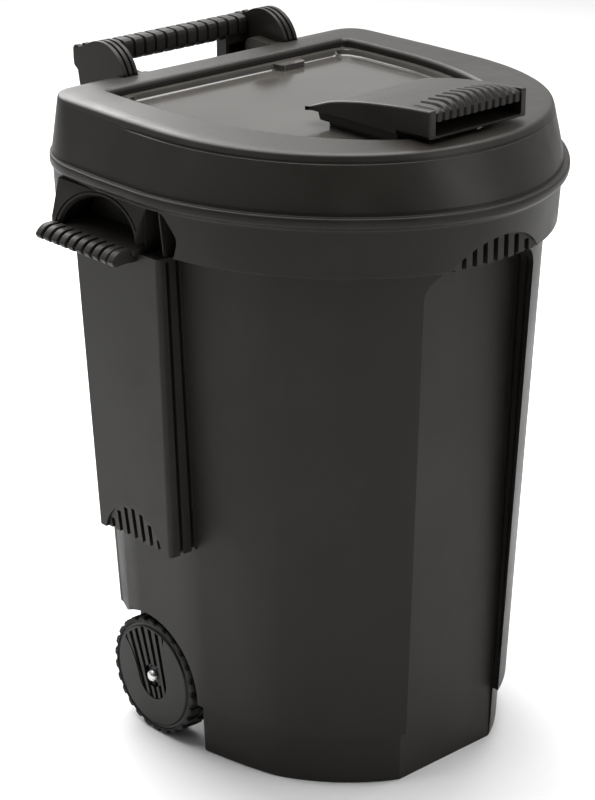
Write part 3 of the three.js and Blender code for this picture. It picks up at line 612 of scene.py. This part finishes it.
def pad_mesh():
    """An arched pad whose rounded ribs run from front to back, their front ends turned down over the edge."""
    low = PAD_SEAT + FIT
    deepest = 3.4
    rib_steps = 12
    across = rib_steps * PAD_RIBS
    profile = [(0, 0.2), (0.8, 0.38), (2.4, 0.6), (5, 0.81), (9, 0.96), (16, 1), (34, 0.78), (37, 0.73),
               (37.6, 0.6)]
    stations = [(depth, PAD_CREST * share) for depth, share in profile]
    rings = []
    for depth, rise in stations:
        top = []
        for i in range(across + 1):
            x = -PAD_HALF + 2 * PAD_HALF * i / across
            phase = i / rib_steps % 1
            crown = rise * (1 - PAD_ARCH * (x / PAD_HALF) ** 2)
            groove = (1 - smooth_step(math.sin(math.pi * phase), 0.1, 0.75)) * min(deepest, crown * 0.5)
            top.append((x, TAB_FRONT + depth, low + crown - groove))
        rings.append([(-PAD_HALF, TAB_FRONT + depth, low), *top, (PAD_HALF, TAB_FRONT + depth, low)])
    return join(loft(rings), pad_nose(rib_steps))


def pad_nose(rib_steps):
    """The ribs' front ends, hanging down over the top of the finger opening."""
    across = rib_steps * PAD_RIBS
    teeth = []
    for i in range(across + 1):
        groove = 1 - smooth_step(math.sin(math.pi * (i / rib_steps % 1)), 0.1, 0.75)
        teeth.append((-PAD_HALF + 2 * PAD_HALF * i / across, TAB_FRONT + PAD_RIB * groove))
    back = [(PAD_HALF, TAB_FRONT + PAD_NOSE_DEPTH), (-PAD_HALF, TAB_FRONT + PAD_NOSE_DEPTH)]
    return along_z(teeth + back, PAD_NOSE, PAD_SEAT + 2 * FIT)


# ---- rear handle ------------------------------------------------------------------------------


def handle_mesh():
    knuckle = arc(HINGE_Y, HINGE_Z, KNUCKLE_R, 55, 163, 36)
    outline = [(200, LID_LOW + 1.5), (224, LID_LOW - 4), (250, 752), (272, 752), (280, 769), (283, 786),
               (290, 790), (291, 808), (288, 813)]
    outline = rounded(outline, 3, steps=3) + knuckle
    cheek = across_x(outline, (CHEEK_INNER, CHEEK_OUTER))
    grooves = []
    for x0, x1 in ((121.5, 125), (129.5, 133)):
        kept = rod_x(KNUCKLE_R - 3, x0 - 1, x1 + 1, HINGE_Y, HINGE_Z)
        ring = cut(rod_x(KNUCKLE_R + 6, x0, x1, HINGE_Y, HINGE_Z), kept)
        grooves.append(cut(ring, box(100, 150, 262, 320, 740, 850)))
    cheek = cut(cheek, *grooves)
    teeth = []
    pitch = 2 * CHEEK_INNER / BAR_RIBS
    for i in range(2):
        x = CHEEK_INNER + pitch * (i + 0.5) * 0.72 - 1.5
        tooth = [(280, 805), (280, 813), (284, 815), (289, 815), (292.5, 811), (292.5, 796), (289, 794)]
        tooth = rounded(tooth, 1.5)
        teeth.append(across_x(tooth, (x - 3.2, x + 3.2)))
    leg = rounded([(264, 708), (LEG_REAR, 720), (LEG_REAR, BAR_LOW + 4), (264, BAR_LOW + 4)], [0, 3, 0, 0])
    leg = across_x(leg, (LEG_INNER, CHEEK_INNER + 1))
    flute = box(LEG_INNER + 5, CHEEK_INNER - 4, 260, 274, 722, 782)
    foot = box(LEG_INNER, CHEEK_OUTER, 246, 272, 668, 756)
    pin = rod_x(PIN_R + FIT, 90, 136.5, HINGE_Y, HINGE_Z, segments=32)
    side = cut(join(cheek, *teeth, cut(leg, flute), foot), pin)
    core = box(-CHEEK_INNER - 1, CHEEK_INNER + 1, BAR_FRONT + 4, BAR_REAR - 3, BAR_LOW + 3, BAR_HIGH - 5)
    return join(side, mirrored(side), core)


def ribbed(section, start, end, ribs, valley, crest, gap, plain_from=0.0, steps=8):
    """A bar along one axis whose section swells at every rib; section(place, grow) gives one ring."""
    edge = 1.2
    if plain_from:
        rings = [section(start, crest - edge), section(start + edge, crest),
                 section(start + plain_from - edge / 2, crest)]
    else:
        rings = [section(start, crest)]
    span = end - start - plain_from
    for i in range(ribs * steps):
        share = (i + 1) / (ribs * steps)
        phase = (i + 1) % steps / steps
        swell = smooth_step(math.sin(math.pi * phase), gap * 0.35, gap)
        rings.append(section(start + plain_from + span * share, lerp(valley, crest, swell)))
    return loft(rings)


def bar_section(place, grow):
    front, rear = BAR_FRONT + 2 - grow, BAR_REAR - 1 + grow
    low, high = BAR_LOW + 1 - grow, BAR_HIGH - 2 + grow
    outline = rounded([(front, low), (rear, low), (rear, high), (front, high)], 8)
    return [(place, y, z) for y, z in outline]


def sleeve_mesh():
    half = CHEEK_INNER - FIT
    sleeve = ribbed(bar_section, -half, half, BAR_RIBS, -1.2, 2.2, 0.42, steps=16)
    bore = box(-140, 140, BAR_FRONT + 4 - FIT, BAR_REAR - 3 + FIT, BAR_LOW + 3 - FIT, BAR_HIGH - 5 + FIT)
    leg = box(LEG_INNER - FIT, 140, 264 - FIT, LEG_REAR + FIT, 680, BAR_LOW + 4 + FIT)
    return cut(sleeve, bore, leg, mirrored(leg))


def side_grip_section(place, grow):
    inner = GRIP_INNER_X + FIT
    outer = GRIP_INNER_X + GRIP_REACH + grow
    low = GRIP_TOP - GRIP_HEIGHT - grow
    high = GRIP_TOP + grow
    outline = [(inner, low + 1.5), (outer - 3, low), (outer, low + 5), (outer, high - 9), (outer - 9, high),
               (inner, high)]
    outline = rounded(outline, [0, 4, 3, 6, 7, 0])
    return [(-x, place, z) for x, z in outline]


# ---- wheels and small turned parts ------------------------------------------------------------


def tongue_outline(shrink):
    """The pocket in the wheel's face: round below the hub, flaring to the rim, tilted back."""
    flank = [(TONGUE_ROUND + 1, 16), (TONGUE_ROUND + 5, 34), (TONGUE_FLARE, TONGUE_REACH - 5)]
    flank += [(TONGUE_FLARE * 0.5, WHEEL_RIM_R - 10), (0, WHEEL_RIM_R - 5)]
    right = [(across - shrink if across else 0, up) for across, up in flank]
    left = [(-across, up) for across, up in reversed(right[:-1])]
    shape = rounded(arc(0, -4, TONGUE_ROUND - shrink, 180, 360, 28) + right + left, 3, steps=2)
    return [on_wheel(across, up) for across, up in shape]


def on_wheel(across, up):
    """A point of the wheel's tilted pattern, as (y, z)."""
    turn = math.radians(-TONGUE_TILT)
    return (WHEEL_Y + across * math.cos(turn) - up * math.sin(turn),
            WHEEL_R + across * math.sin(turn) + up * math.cos(turn))


def wheel_mesh():
    face, back = WHEEL_FACE_X, WHEEL_BACK_X
    bore = BUSH_OUTER + FIT
    outline = rounded([(WHEEL_RIM_R, back), (WHEEL_RIM_R, face + 0.6), (WHEEL_RIM_R - 3.2, face + 1.8),
                       (WHEEL_RIM_R - 5, face - 0.8), (34, face - 1.6), (bore, face - 1.6), (bore, back)],
                      [0.5, 1.2, 1, 1.2, 8, 1, 0.5])
    disc = turned(outline, WHEEL_Y, WHEEL_R, 120)
    pocket = across_x(tongue_outline(0), (face - 6, face + 6))
    ribs = []
    for i in range(TONGUE_RIBS):
        place = i - (TONGUE_RIBS - 1) / 2
        low, high = place * TONGUE_RIB_LOW, place * TONGUE_RIB_HIGH
        corners = [(low - 2.2, -40), (low + 2.2, -40), (high + 3.6, 80), (high - 3.6, 80)]
        ribs.append(across_x([on_wheel(*corner) for corner in corners], (face - 0.6, face + 7)))
    moat = rod_x(bore + 3.5, face - 6, face + 3, WHEEL_Y, WHEEL_R)
    raised = cut(common(join(*ribs), across_x(tongue_outline(0.6), (face - 8, face + 8))), moat)
    return cut(join(cut(disc, pocket), raised), rod_x(bore, -230, -170, WHEEL_Y, WHEEL_R))


def tyre_mesh():
    """A tyre with two staggered rows of tread blocks round a solid band."""
    blocks, steps = 26, 10
    front = WHEEL_FACE_X
    width = WHEEL_WIDTH - 4
    groove = 3.2
    across = [0, 0.02, 0.05, 0.2, 0.42, 0.46, 0.54, 0.58, 0.8, 0.95, 0.98, 1]
    points, faces = [], []
    count = len(across) + 2
    segments = blocks * steps
    for s in range(segments):
        angle = 2 * math.pi * s / segments
        for row in [-1, *range(len(across)), -2]:
            if row < 0:
                radius, x = WHEEL_RIM_R + FIT, front + (0 if row == -1 else width)
            else:
                share = across[row]
                phase = (s / steps + (0.5 if share > 0.5 else 0)) % 1
                block = smooth_step(phase, 0.0, 0.1) * (1 - smooth_step(phase, 0.56, 0.66))
                middle = smooth_step(abs(share - 0.5), 0.04, 0.09)
                shoulder = 1.6 * (1 - smooth_step(min(share, 1 - share), 0, 0.05))
                radius = WHEEL_R - groove * (1 - block * middle) - shoulder
                x = front + width * share
            points.append((x, WHEEL_Y + radius * math.cos(angle), WHEEL_R + radius * math.sin(angle)))
    for s in range(segments):
        here, there = s * count, (s + 1) % segments * count
        for i in range(count):
            after = (i + 1) % count
            faces.append((here + i, here + after, there + after, there + i))
    return mesh_of(points, faces)


def tube(inner, outer, x0, x1, chamfer):
    profile = [(inner, x0), (outer - chamfer, x0), (outer, x0 + chamfer), (outer, x1 - chamfer),
               (outer - chamfer, x1), (inner, x1)]
    return turned(profile, WHEEL_Y, WHEEL_R)


def axle_cap_mesh():
    """A push-on cap with a domed end."""
    tip = -WHEEL_OUTER_X - 2.5
    dome = [(0, tip), (2.6, tip + 0.2), (4.8, tip + 0.9), (6.4, tip + 2.1), (7.2, tip + 3.4),
            (7.5, -WHEEL_OUTER_X + 2)]
    hollow = [(AXLE_R + FIT, -WHEEL_OUTER_X + 2), (AXLE_R + FIT, -AXLE_HALF - FIT), (0, -AXLE_HALF - FIT)]
    return turned(dome + hollow, WHEEL_Y, WHEEL_R)


# ---- body shell -------------------------------------------------------------------------------


def arched(half, base, rise, foot, steps=40):
    """An outline with a shallow arch on top of straight sides."""
    radius = (half ** 2 + rise ** 2) / (2 * rise)
    spread = math.degrees(math.asin(half / radius))
    top = arc(0, base + rise - radius, radius, 90 - spread, 90 + spread, steps)
    return [(half, foot), *top, (-half, foot)]


def facet_recess(grow):
    """Cuts the bow back to a flat front that tapers with the wall and has rounded upper corners."""
    low, high = FACET_HALF + grow, FACET_HALF + FACET_FLARE + grow
    reach = -340
    top = FACET_TOP + grow
    flat = loft([
        [(-half, reach, z), (half, reach, z), (half, y + grow, z), (-half, y + grow, z)]
        for half, y, z in ((low, FACET_LOW_Y, -1), (high, FACET_HIGH_Y, top))
    ])
    side = high + 1
    trim = [(side, -2), (side, top), (-side, top), (-side, -2)]
    trim = rounded(trim, [0, FACET_CORNER, FACET_CORNER, 0], steps=8)
    return common(flat, along_y(trim, reach - 10, FACET_LOW_Y + 30))


def facet_arch_cuts():
    """The arched panel over the flat front: a flat face in the collar, slotted through to the front."""
    reach, margin = -330, 2.5
    cuts = [along_y(arched(ARCH_HALF, ARCH_BASE, ARCH_RISE, ARCH_FOOT), reach, ARCH_Y)]
    pitch = (2 * ARCH_HALF - ARCH_SLOT_WIDTH) / (ARCH_SLOTS - 1)
    half = ARCH_SLOT_WIDTH / 2
    for i in range(ARCH_SLOTS):
        x = (i - (ARCH_SLOTS - 1) / 2) * pitch
        top = max(ARCH_BASE + ARCH_RISE * (1 - (x / ARCH_HALF) ** 2) - margin, ARCH_BASE + margin)
        outline = rounded([(x - half, ARCH_FOOT), (x + half, ARCH_FOOT), (x + half, top), (x - half, top)],
                          [0, 0, 2.5, 2.5])
        cuts.append(along_y(outline, reach, FACET_HIGH_Y + 2))
    return cuts


def facet_grooves():
    """Two upright grooves in the step between the flat front and the bow on either side."""
    made = []
    for place in (0.22, 0.62):
        rings = []
        for k in range(25):
            share_up = k / 24
            z = lerp(100, 648, share_up)
            share = (z - SKIRT_TOP) / (FACET_TOP - SKIRT_TOP)
            x = FACET_HALF + FACET_FLARE * share
            y = lerp(FACET_LOW_Y, FACET_HIGH_Y, share)
            middle = lerp(y, -240 - 22 * share, place)
            half = 1.2 + 1.5 * share
            rings.append([(x - 2, middle - half, z), (x + 6, middle - half * 0.6, z),
                          (x + 6, middle + half * 0.6, z), (x - 2, middle + half, z)])
        made.append(loft(rings))
    return made


def side_panel(inset):
    levels = ((PANEL_LOW + inset, PANEL_X_LOW, PANEL_REAR_LOW),
              (BRACKET_LOW + (10 if inset else 0), PANEL_X_HIGH, PANEL_REAR_HIGH))
    rings = []
    for z, x, rear in levels:
        outline = [(0, PANEL_FRONT + inset), (0, rear - inset), (-x + inset, rear - inset),
                   (-x + inset, PANEL_FRONT + inset)]
        rings.append([(px, py, z) for px, py in rounded(outline, [0, 0, 3, 5.5], steps=5)])
    return loft(rings)


def panel_arch_cuts():
    """The arch in the panel's foot: its face leans inwards as it falls, and slots run up it."""
    top = PANEL_LOW + PANEL_ARCH_RISE
    foot = PANEL_LOW - 5
    shape = arched(PANEL_ARCH_HALF, PANEL_LOW, PANEL_ARCH_RISE, foot)
    outline = [(y + PANEL_ARCH_MIDDLE, z) for y, z in shape]
    wedge = [(-300, foot), (-300, top), (-PANEL_X_LOW - 1, top), (-PANEL_X_LOW + PANEL_ARCH_LEAN, foot)]
    reach = PANEL_ARCH_HALF + 30
    leaning = along_y(wedge, PANEL_ARCH_MIDDLE - reach, PANEL_ARCH_MIDDLE + reach)
    cuts = [common(across_x(outline, (-300, -200)), leaning)]
    pitch = (2 * PANEL_ARCH_HALF - PANEL_SLOT_WIDTH - 14) / (PANEL_SLOTS - 1)
    for i in range(PANEL_SLOTS):
        y = PANEL_ARCH_MIDDLE + (i - (PANEL_SLOTS - 1) / 2) * pitch
        slot_top = top - PANEL_ARCH_RISE * ((y - PANEL_ARCH_MIDDLE) / PANEL_ARCH_HALF) ** 2 - 1
        cuts.append(box(-300, -244, y - PANEL_SLOT_WIDTH / 2, y + PANEL_SLOT_WIDTH / 2, foot,
                        max(slot_top, PANEL_LOW + 3)))
    return cuts


def panel_grooves():
    """Two upright grooves up the panel's front edge, running out through its foot."""
    low, high = PANEL_LOW - 2, PANEL_HIGH
    half, depth = 2.5, 6
    made = []
    for share in (0.45, 0.9):
        rings = []
        for z, outer, inner in ((low, PANEL_X_LOW, PANEL_IN_LOW), (high, PANEL_X_HIGH, PANEL_IN_HIGH)):
            x = -lerp(outer, inner, share)
            rings.append([(x - half, PANEL_FRONT - 2, z), (x + half, PANEL_FRONT - 2, z),
                          (x + half * 0.8, PANEL_FRONT + depth, z), (x - half * 0.8, PANEL_FRONT + depth, z)])
        made.append(loft(rings))
    return made


def bracket_x(z):
    """How far out the bracket's face stands at a height."""
    return lerp(GRIP_INNER_X, 272.5, max(0, z - 664) / (BRACKET_TOP - 664))


def side_bracket():
    """The collar flares out here to carry a grip; towards its top it runs back into the collar."""
    rings = []
    for z in (BRACKET_LOW, 660, 664, 668, 680, 695, BRACKET_TOP):
        front = lerp(BRACKET_FRONT_LOW, BRACKET_FRONT, max(0, z - 664) / (BRACKET_TOP - 664))
        x = bracket_x(z)
        outline = [(-200, front), (-200, BRACKET_REAR), (-x, BRACKET_REAR), (-x, front)]
        rings.append([(px, py, z) for px, py in rounded(outline, [0, 0, 3, 3], steps=3)])
    backing = box(-GRIP_INNER_X, -200, GRIP_FROM + 4, BRACKET_REAR, 643, BRACKET_LOW + 1)
    return join(loft(rings), backing)


def hand_pocket():
    """An arched mouth with a broken edge, a floor sloping up to the back, and a thin arc groove round it."""
    squash = 0.7
    floor_z, middle, half = 655, 65, 67

    def outline(radius, start=0, end=180):
        circle = arc(middle, floor_z, radius, start, end, 40)
        return [(y, floor_z + (z - floor_z) * squash) for y, z in circle]

    pocket = across_x([(middle + half, 652), *outline(half), (middle - half, 652)], (-300, -244))
    floor = loft([[(-286, y, 640), (-286, y, 655.5), (-242, y, 667), (-242, y, 640)] for y in (-4, 140)])
    chamfer = loft([
        [(-bracket_x(z) + depth, y, z) for y, z in outline(radius)]
        for radius, depth in ((half + 5, -1.5), (half, 3.5))
    ])
    rings = []
    for radius, depth in ((half + 7, -2), (half + 7, 2), (half + 9.4, 2), (half + 9.4, -2)):
        rings.append([(-bracket_x(z) + depth, y, z) for y, z in outline(radius, 6, 150)])
    points = [p for ring in rings for p in ring]
    count = len(rings[0])
    faces = [
        (row * count + i, row * count + i + 1, (row + 1) % 4 * count + i + 1, (row + 1) % 4 * count + i)
        for row in range(4)
        for i in range(count - 1)
    ]
    faces += [tuple(row * count for row in range(4)), tuple(row * count + count - 1 for row in range(4))]
    return [cut(join(pocket, chamfer), floor), mesh_of(points, faces)]


def gusset_pocket():
    """The dark pocket in front of the bracket, with a thin upright rib in it."""
    outline = rounded([(-44, 655), (-2, 655), (-9, 708), (-34, 708), (-53, 680)], [6, 1, 2, 7, 8])
    mouth = across_x(outline, (-300, -240))
    return cut(mouth, box(-270, -238, -31, -29, 640, 715))


def wheel_notch(grow):
    low = -1 - grow
    radius = NOTCH_R + grow
    roof_angle = math.degrees(math.asin((NOTCH_ROOF - NOTCH_Z) / NOTCH_R))
    curve = arc(NOTCH_Y, NOTCH_Z, radius, 180, roof_angle, 40)
    outline = [(NOTCH_Y - radius, low), (260, low), (260, curve[-1][1]), *reversed(curve)]
    return across_x(outline, (-300, -NOTCH_INNER_X + grow))


def axle_tunnel(grow):
    front = NOTCH_Y - NOTCH_R - grow
    roof = TUNNEL_ROOF + grow
    outline = rounded([(front, -1 - grow), (260, -1 - grow), (260, roof), (front + 30, roof)], [0, 0, 0, 8])
    return across_x(outline, (-200, 200))


def foot_ring(z, inset):
    """The wall's lowest outline, drawn in and moved to a height: the skirt's shape."""
    return [(x, y, z) for x, y, _ in wall_at(SKIRT_TOP, SKIRT_INSET + inset)]


def body_mesh():
    wall_levels = [SKIRT_TOP + (WALL_TOP + 2 - SKIRT_TOP) * k / 26 for k in range(27)]
    wall = loft([wall_at(z) for z in wall_levels])
    skirt_levels = [(0, 5), (0.8, 3.9), (2.4, 3.1), (5, 2.8), (35, 1.4), (SKIRT_TOP + 1, 0)]
    skirt = loft([foot_ring(z, extra) for z, extra in skirt_levels])
    panel = cut(side_panel(0), *panel_arch_cuts(), *panel_grooves())
    bracket = side_bracket()
    collar_levels = [(654.5, 14), (656, 8.6), (661, 8), (BEAD_LOW, 2), (BEAD_LOW + 3.5, -BEAD_REACH + 1),
                     (BEAD_LOW + 10, -BEAD_REACH), (BEAD_HIGH - 2.5, -BEAD_REACH + 1), (BEAD_HIGH - 3, -0.5),
                     (BEAD_HIGH + 0.6, 0.3)]
    collar_profile = rounded(collar_levels, [0, 1.2, 2, 4, 3, 3, 3, 1, 0], closed=False)
    collar = ring_stack(collar_profile)
    outer = join(wall, skirt, panel, mirrored(panel), bracket, mirrored(bracket), collar)
    cavity = loft([
        foot_ring(5, SKIN + 3),
        foot_ring(66, SKIN),
        *[wall_at(z, SKIN) for z in (74, 200, 400, WALL_TOP)],
    ])
    rim_room = ring_stack([(WALL_TOP - 8, 40), (WALL_TOP + 9, COLLAR_INSET + SKIN), (BEAD_LOW, 2 + SKIN),
                           (BEAD_HIGH + 5, 2 + SKIN)])
    hollow_panel = side_panel(SKIN)
    step = box(74, 98, -300, -218, 90, 700)
    step_left = box(-98, -74, -300, -218, 90, 700)
    keep_front = join(facet_recess(SKIN), step, step_left, box(-98, 98, -330, -222, 620, 706))
    arch_low = PANEL_ARCH_MIDDLE - PANEL_ARCH_HALF - 8
    arch_high = PANEL_ARCH_MIDDLE + PANEL_ARCH_HALF + 8
    keep_side = [box(-300, -234, -60, 142, 636, 712), box(-300, -222, -44, -20, 280, 660),
                 box(-300, -236, arch_low, arch_high, 270, PANEL_LOW + PANEL_ARCH_RISE + 8),
                 wheel_notch(SKIN)]
    keep_side += [mirrored(mesh) for mesh in keep_side]
    cavity = cut(join(cavity, hollow_panel, mirrored(hollow_panel), rim_room), keep_front, *keep_side,
                 axle_tunnel(SKIN))
    side_cuts = [*hand_pocket(), gusset_pocket(), wheel_notch(0)]
    front_cuts = [facet_recess(0), *facet_arch_cuts(), *facet_grooves()]
    front_cuts += [mirrored(groove) for groove in facet_grooves()]
    side_cuts += [mirrored(mesh) for mesh in side_cuts]
    shell = cut(outer, cavity, *front_cuts, *side_cuts, axle_tunnel(0))
    ribs = [
        across_x([(WHEEL_Y - 22, WHEEL_R - 22), (WHEEL_Y + 22, WHEEL_R - 22), (WHEEL_Y + 40, TUNNEL_ROOF + 2),
                  (WHEEL_Y - 40, TUNNEL_ROOF + 2)], (x - 3, x + 3))
        for x in (-158, -55, 55, 158)
    ]
    bore = rod_x(AXLE_R + FIT, -250, 250, WHEEL_Y, WHEEL_R)
    socket = cut(box(LEG_INNER - 6, CHEEK_OUTER + 6, 226, 280, 662, 704),
                 box(LEG_INNER - FIT, CHEEK_OUTER + FIT, 246 - FIT, 272 + FIT, 668 - FIT, 710))
    return join(shell, *[cut(rib, bore) for rib in ribs], socket, mirrored(socket))


# ---- all pieces -------------------------------------------------------------------------------

piece("shell", body_mesh(), "bin_body", ["body_shell"], SHELL, bevel=1.0)
piece("handle", handle_mesh(), "bin_body", ["rear_handle"], SHELL, bevel=1.0)
piece("handle_sleeve", sleeve_mesh(), "bin_body", ["rear_grip_sleeve"], GRIP, bevel=0)
piece("lid_skin", lid_mesh(), "lid_body", ["lid"], LID, bevel=0.8)
piece("hatch_panel", flap_mesh(), "flap_body", ["hatch_flap"], GLOSS, bevel=0.6)
piece("hatch_grip", flap_grip_mesh(), "flap_body", ["flap_grip"], LID, bevel=0.8)
piece("hatch_grip_pad", pad_mesh(), "flap_body", ["flap_grip_pad"], GRIP, bevel=0)

AXLE_AT = (WHEEL_Y, WHEEL_R)
side_grip = ribbed(side_grip_section, GRIP_FROM, GRIP_TO, GRIP_RIBS, -7, 0.4, 0.6, plain_from=11, steps=16)
tread, disc, cap = tyre_mesh(), wheel_mesh(), axle_cap_mesh()
bush = tube(AXLE_R + FIT, BUSH_OUTER, WHEEL_FACE_X + TONGUE_DEPTH, WHEEL_BACK_X, 0.5)
washer = tube(AXLE_R + FIT, 15, -NOTCH_INNER_X - 10.6, -NOTCH_INNER_X - 8.6, 0.3)
lid_pin = rod_x(PIN_R, -136, -104, HINGE_Y, HINGE_Z, 0.6)
flap_pin = rod_x(FLAP_PIN_R, -FLAP_PIN_TO, -FLAP_PIN_FROM, FLAP_PIN_Y, FLAP_PIN_Z, 0.5)

for side, turn in (("left", lambda mesh: mesh.copy()), ("right", mirrored)):
    wheel_body = f"{side}_wheel"
    piece(f"grip_bar_{side}", turn(side_grip), "bin_body", [f"side_grip_{side}"], GRIP, bevel=0)
    piece(f"wheel_disc_{side}", turn(disc), wheel_body, [f"wheel_{side}"], WHEEL, bevel=0.6)
    piece(f"tread_{side}", turn(tread), wheel_body, [f"tyre_{side}"], TYRE, bevel=0)
    piece(f"bush_{side}", turn(bush), wheel_body, [f"wheel_bush_{side}"], NYLON, bevel=0)
    piece(f"washer_{side}", turn(washer), "bin_body", [f"inner_washer_{side}"], STEEL, bevel=0)
    piece(f"cap_{side}", turn(cap), "bin_body", [f"axle_cap_{side}"], STEEL, bevel=0)
    piece(f"lid_pin_{side}", turn(lid_pin), "bin_body", [f"lid_hinge_pin_{side}"], STEEL, bevel=0)
    piece(f"flap_pin_{side}", turn(flap_pin), "lid_body", [f"flap_hinge_pin_{side}"], STEEL, bevel=0)

axle_rod = rod_x(AXLE_R, -AXLE_HALF, AXLE_HALF, *AXLE_AT, 1)
piece("axle_rod", axle_rod, "bin_body", ["axle"], STEEL, bevel=0)

# ---- floor, light and camera ------------------------------------------------------------------


def floor():
    points = [(-9, -9, 0), (9, -9, 0), (9, 9, 0), (-9, 9, 0)]
    mesh = mesh_of(points, [(0, 1, 2, 3)])
    if mesh.polygons[0].normal.z < 0:
        mesh.flip_normals()
    obj = bpy.data.objects.new("floor", mesh)
    bpy.context.scene.collection.objects.link(obj)
    s = Shader("floor_paper")
    s.bsdf.inputs["Base Color"].default_value = (0.86, 0.86, 0.86, 1)
    s.bsdf.inputs["Roughness"].default_value = 0.9
    mesh.materials.append(s.material)


def area_light(name, place, target, size, power, colour=(1, 1, 1)):
    data = bpy.data.lights.new(name, "AREA")
    data.shape = "RECTANGLE"
    data.size, data.size_y = size
    data.energy = power
    data.color = colour
    obj = bpy.data.objects.new(name, data)
    obj.location = place
    obj.rotation_euler = (Vector(target) - Vector(place)).to_track_quat("-Z", "Y").to_euler()
    bpy.context.scene.collection.objects.link(obj)


def world():
    """Pale studio air: bright behind and above the bin, dim in front of it, plain white to the eye."""
    made = bpy.data.worlds.new("studio")
    made.use_nodes = True
    tree = made.node_tree
    tree.nodes.clear()
    out = tree.nodes.new("ShaderNodeOutputWorld")
    seen = tree.nodes.new("ShaderNodeBackground")
    seen.inputs["Color"].default_value = (1, 1, 1, 1)
    lit = tree.nodes.new("ShaderNodeBackground")
    where = tree.nodes.new("ShaderNodeTexCoord")
    ahead = tree.nodes.new("ShaderNodeVectorMath")
    ahead.operation = "DOT_PRODUCT"
    ahead.inputs[1].default_value = (0.62, 0.72, 0.3)
    ramp = tree.nodes.new("ShaderNodeMapRange")
    for key, value in zip(("From Min", "From Max", "To Min", "To Max"), (-0.6, 0.9, 0.05, 1.0)):
        ramp.inputs[key].default_value = value
    path = tree.nodes.new("ShaderNodeLightPath")
    mix = tree.nodes.new("ShaderNodeMixShader")
    tree.links.new(where.outputs["Generated"], ahead.inputs[0])
    tree.links.new(ahead.outputs["Value"], ramp.inputs["Value"])
    tree.links.new(ramp.outputs["Result"], lit.inputs["Strength"])
    tree.links.new(path.outputs["Is Camera Ray"], mix.inputs["Fac"])
    tree.links.new(lit.outputs["Background"], mix.inputs[1])
    tree.links.new(seen.outputs["Background"], mix.inputs[2])
    tree.links.new(mix.outputs["Shader"], out.inputs["Surface"])
    bpy.context.scene.world = made


def camera():
    data = bpy.data.cameras.new("camera")
    data.lens = 108.1
    data.sensor_width = 36
    data.clip_end = 50
    obj = bpy.data.objects.new("camera", data)
    place, target = Vector((-1.8459, -1.9771, 1.5141)), Vector((-0.0205, 0.0280, 0.4027))
    obj.location = place
    obj.rotation_euler = (target - place).to_track_quat("-Z", "Y").to_euler()
    bpy.context.scene.collection.objects.link(obj)
    bpy.context.scene.camera = obj


floor()
world()
area_light("top", (0.3, 0.5, 3.2), (0, 0, 0.4), (3.0, 3.0), 190)
area_light("behind", (0.9, 3.4, 2.3), (0, 0, 0.7), (2.4, 1.4), 95)
area_light("left", (-3.0, 0.2, 1.6), (0, 0, 0.4), (1.6, 2.4), 4)
area_light("front", (0.9, -3.2, 1.8), (0, 0, 0.4), (1.4, 2.4), 32)
camera()
bpy.context.scene.view_settings.view_transform = "Standard"
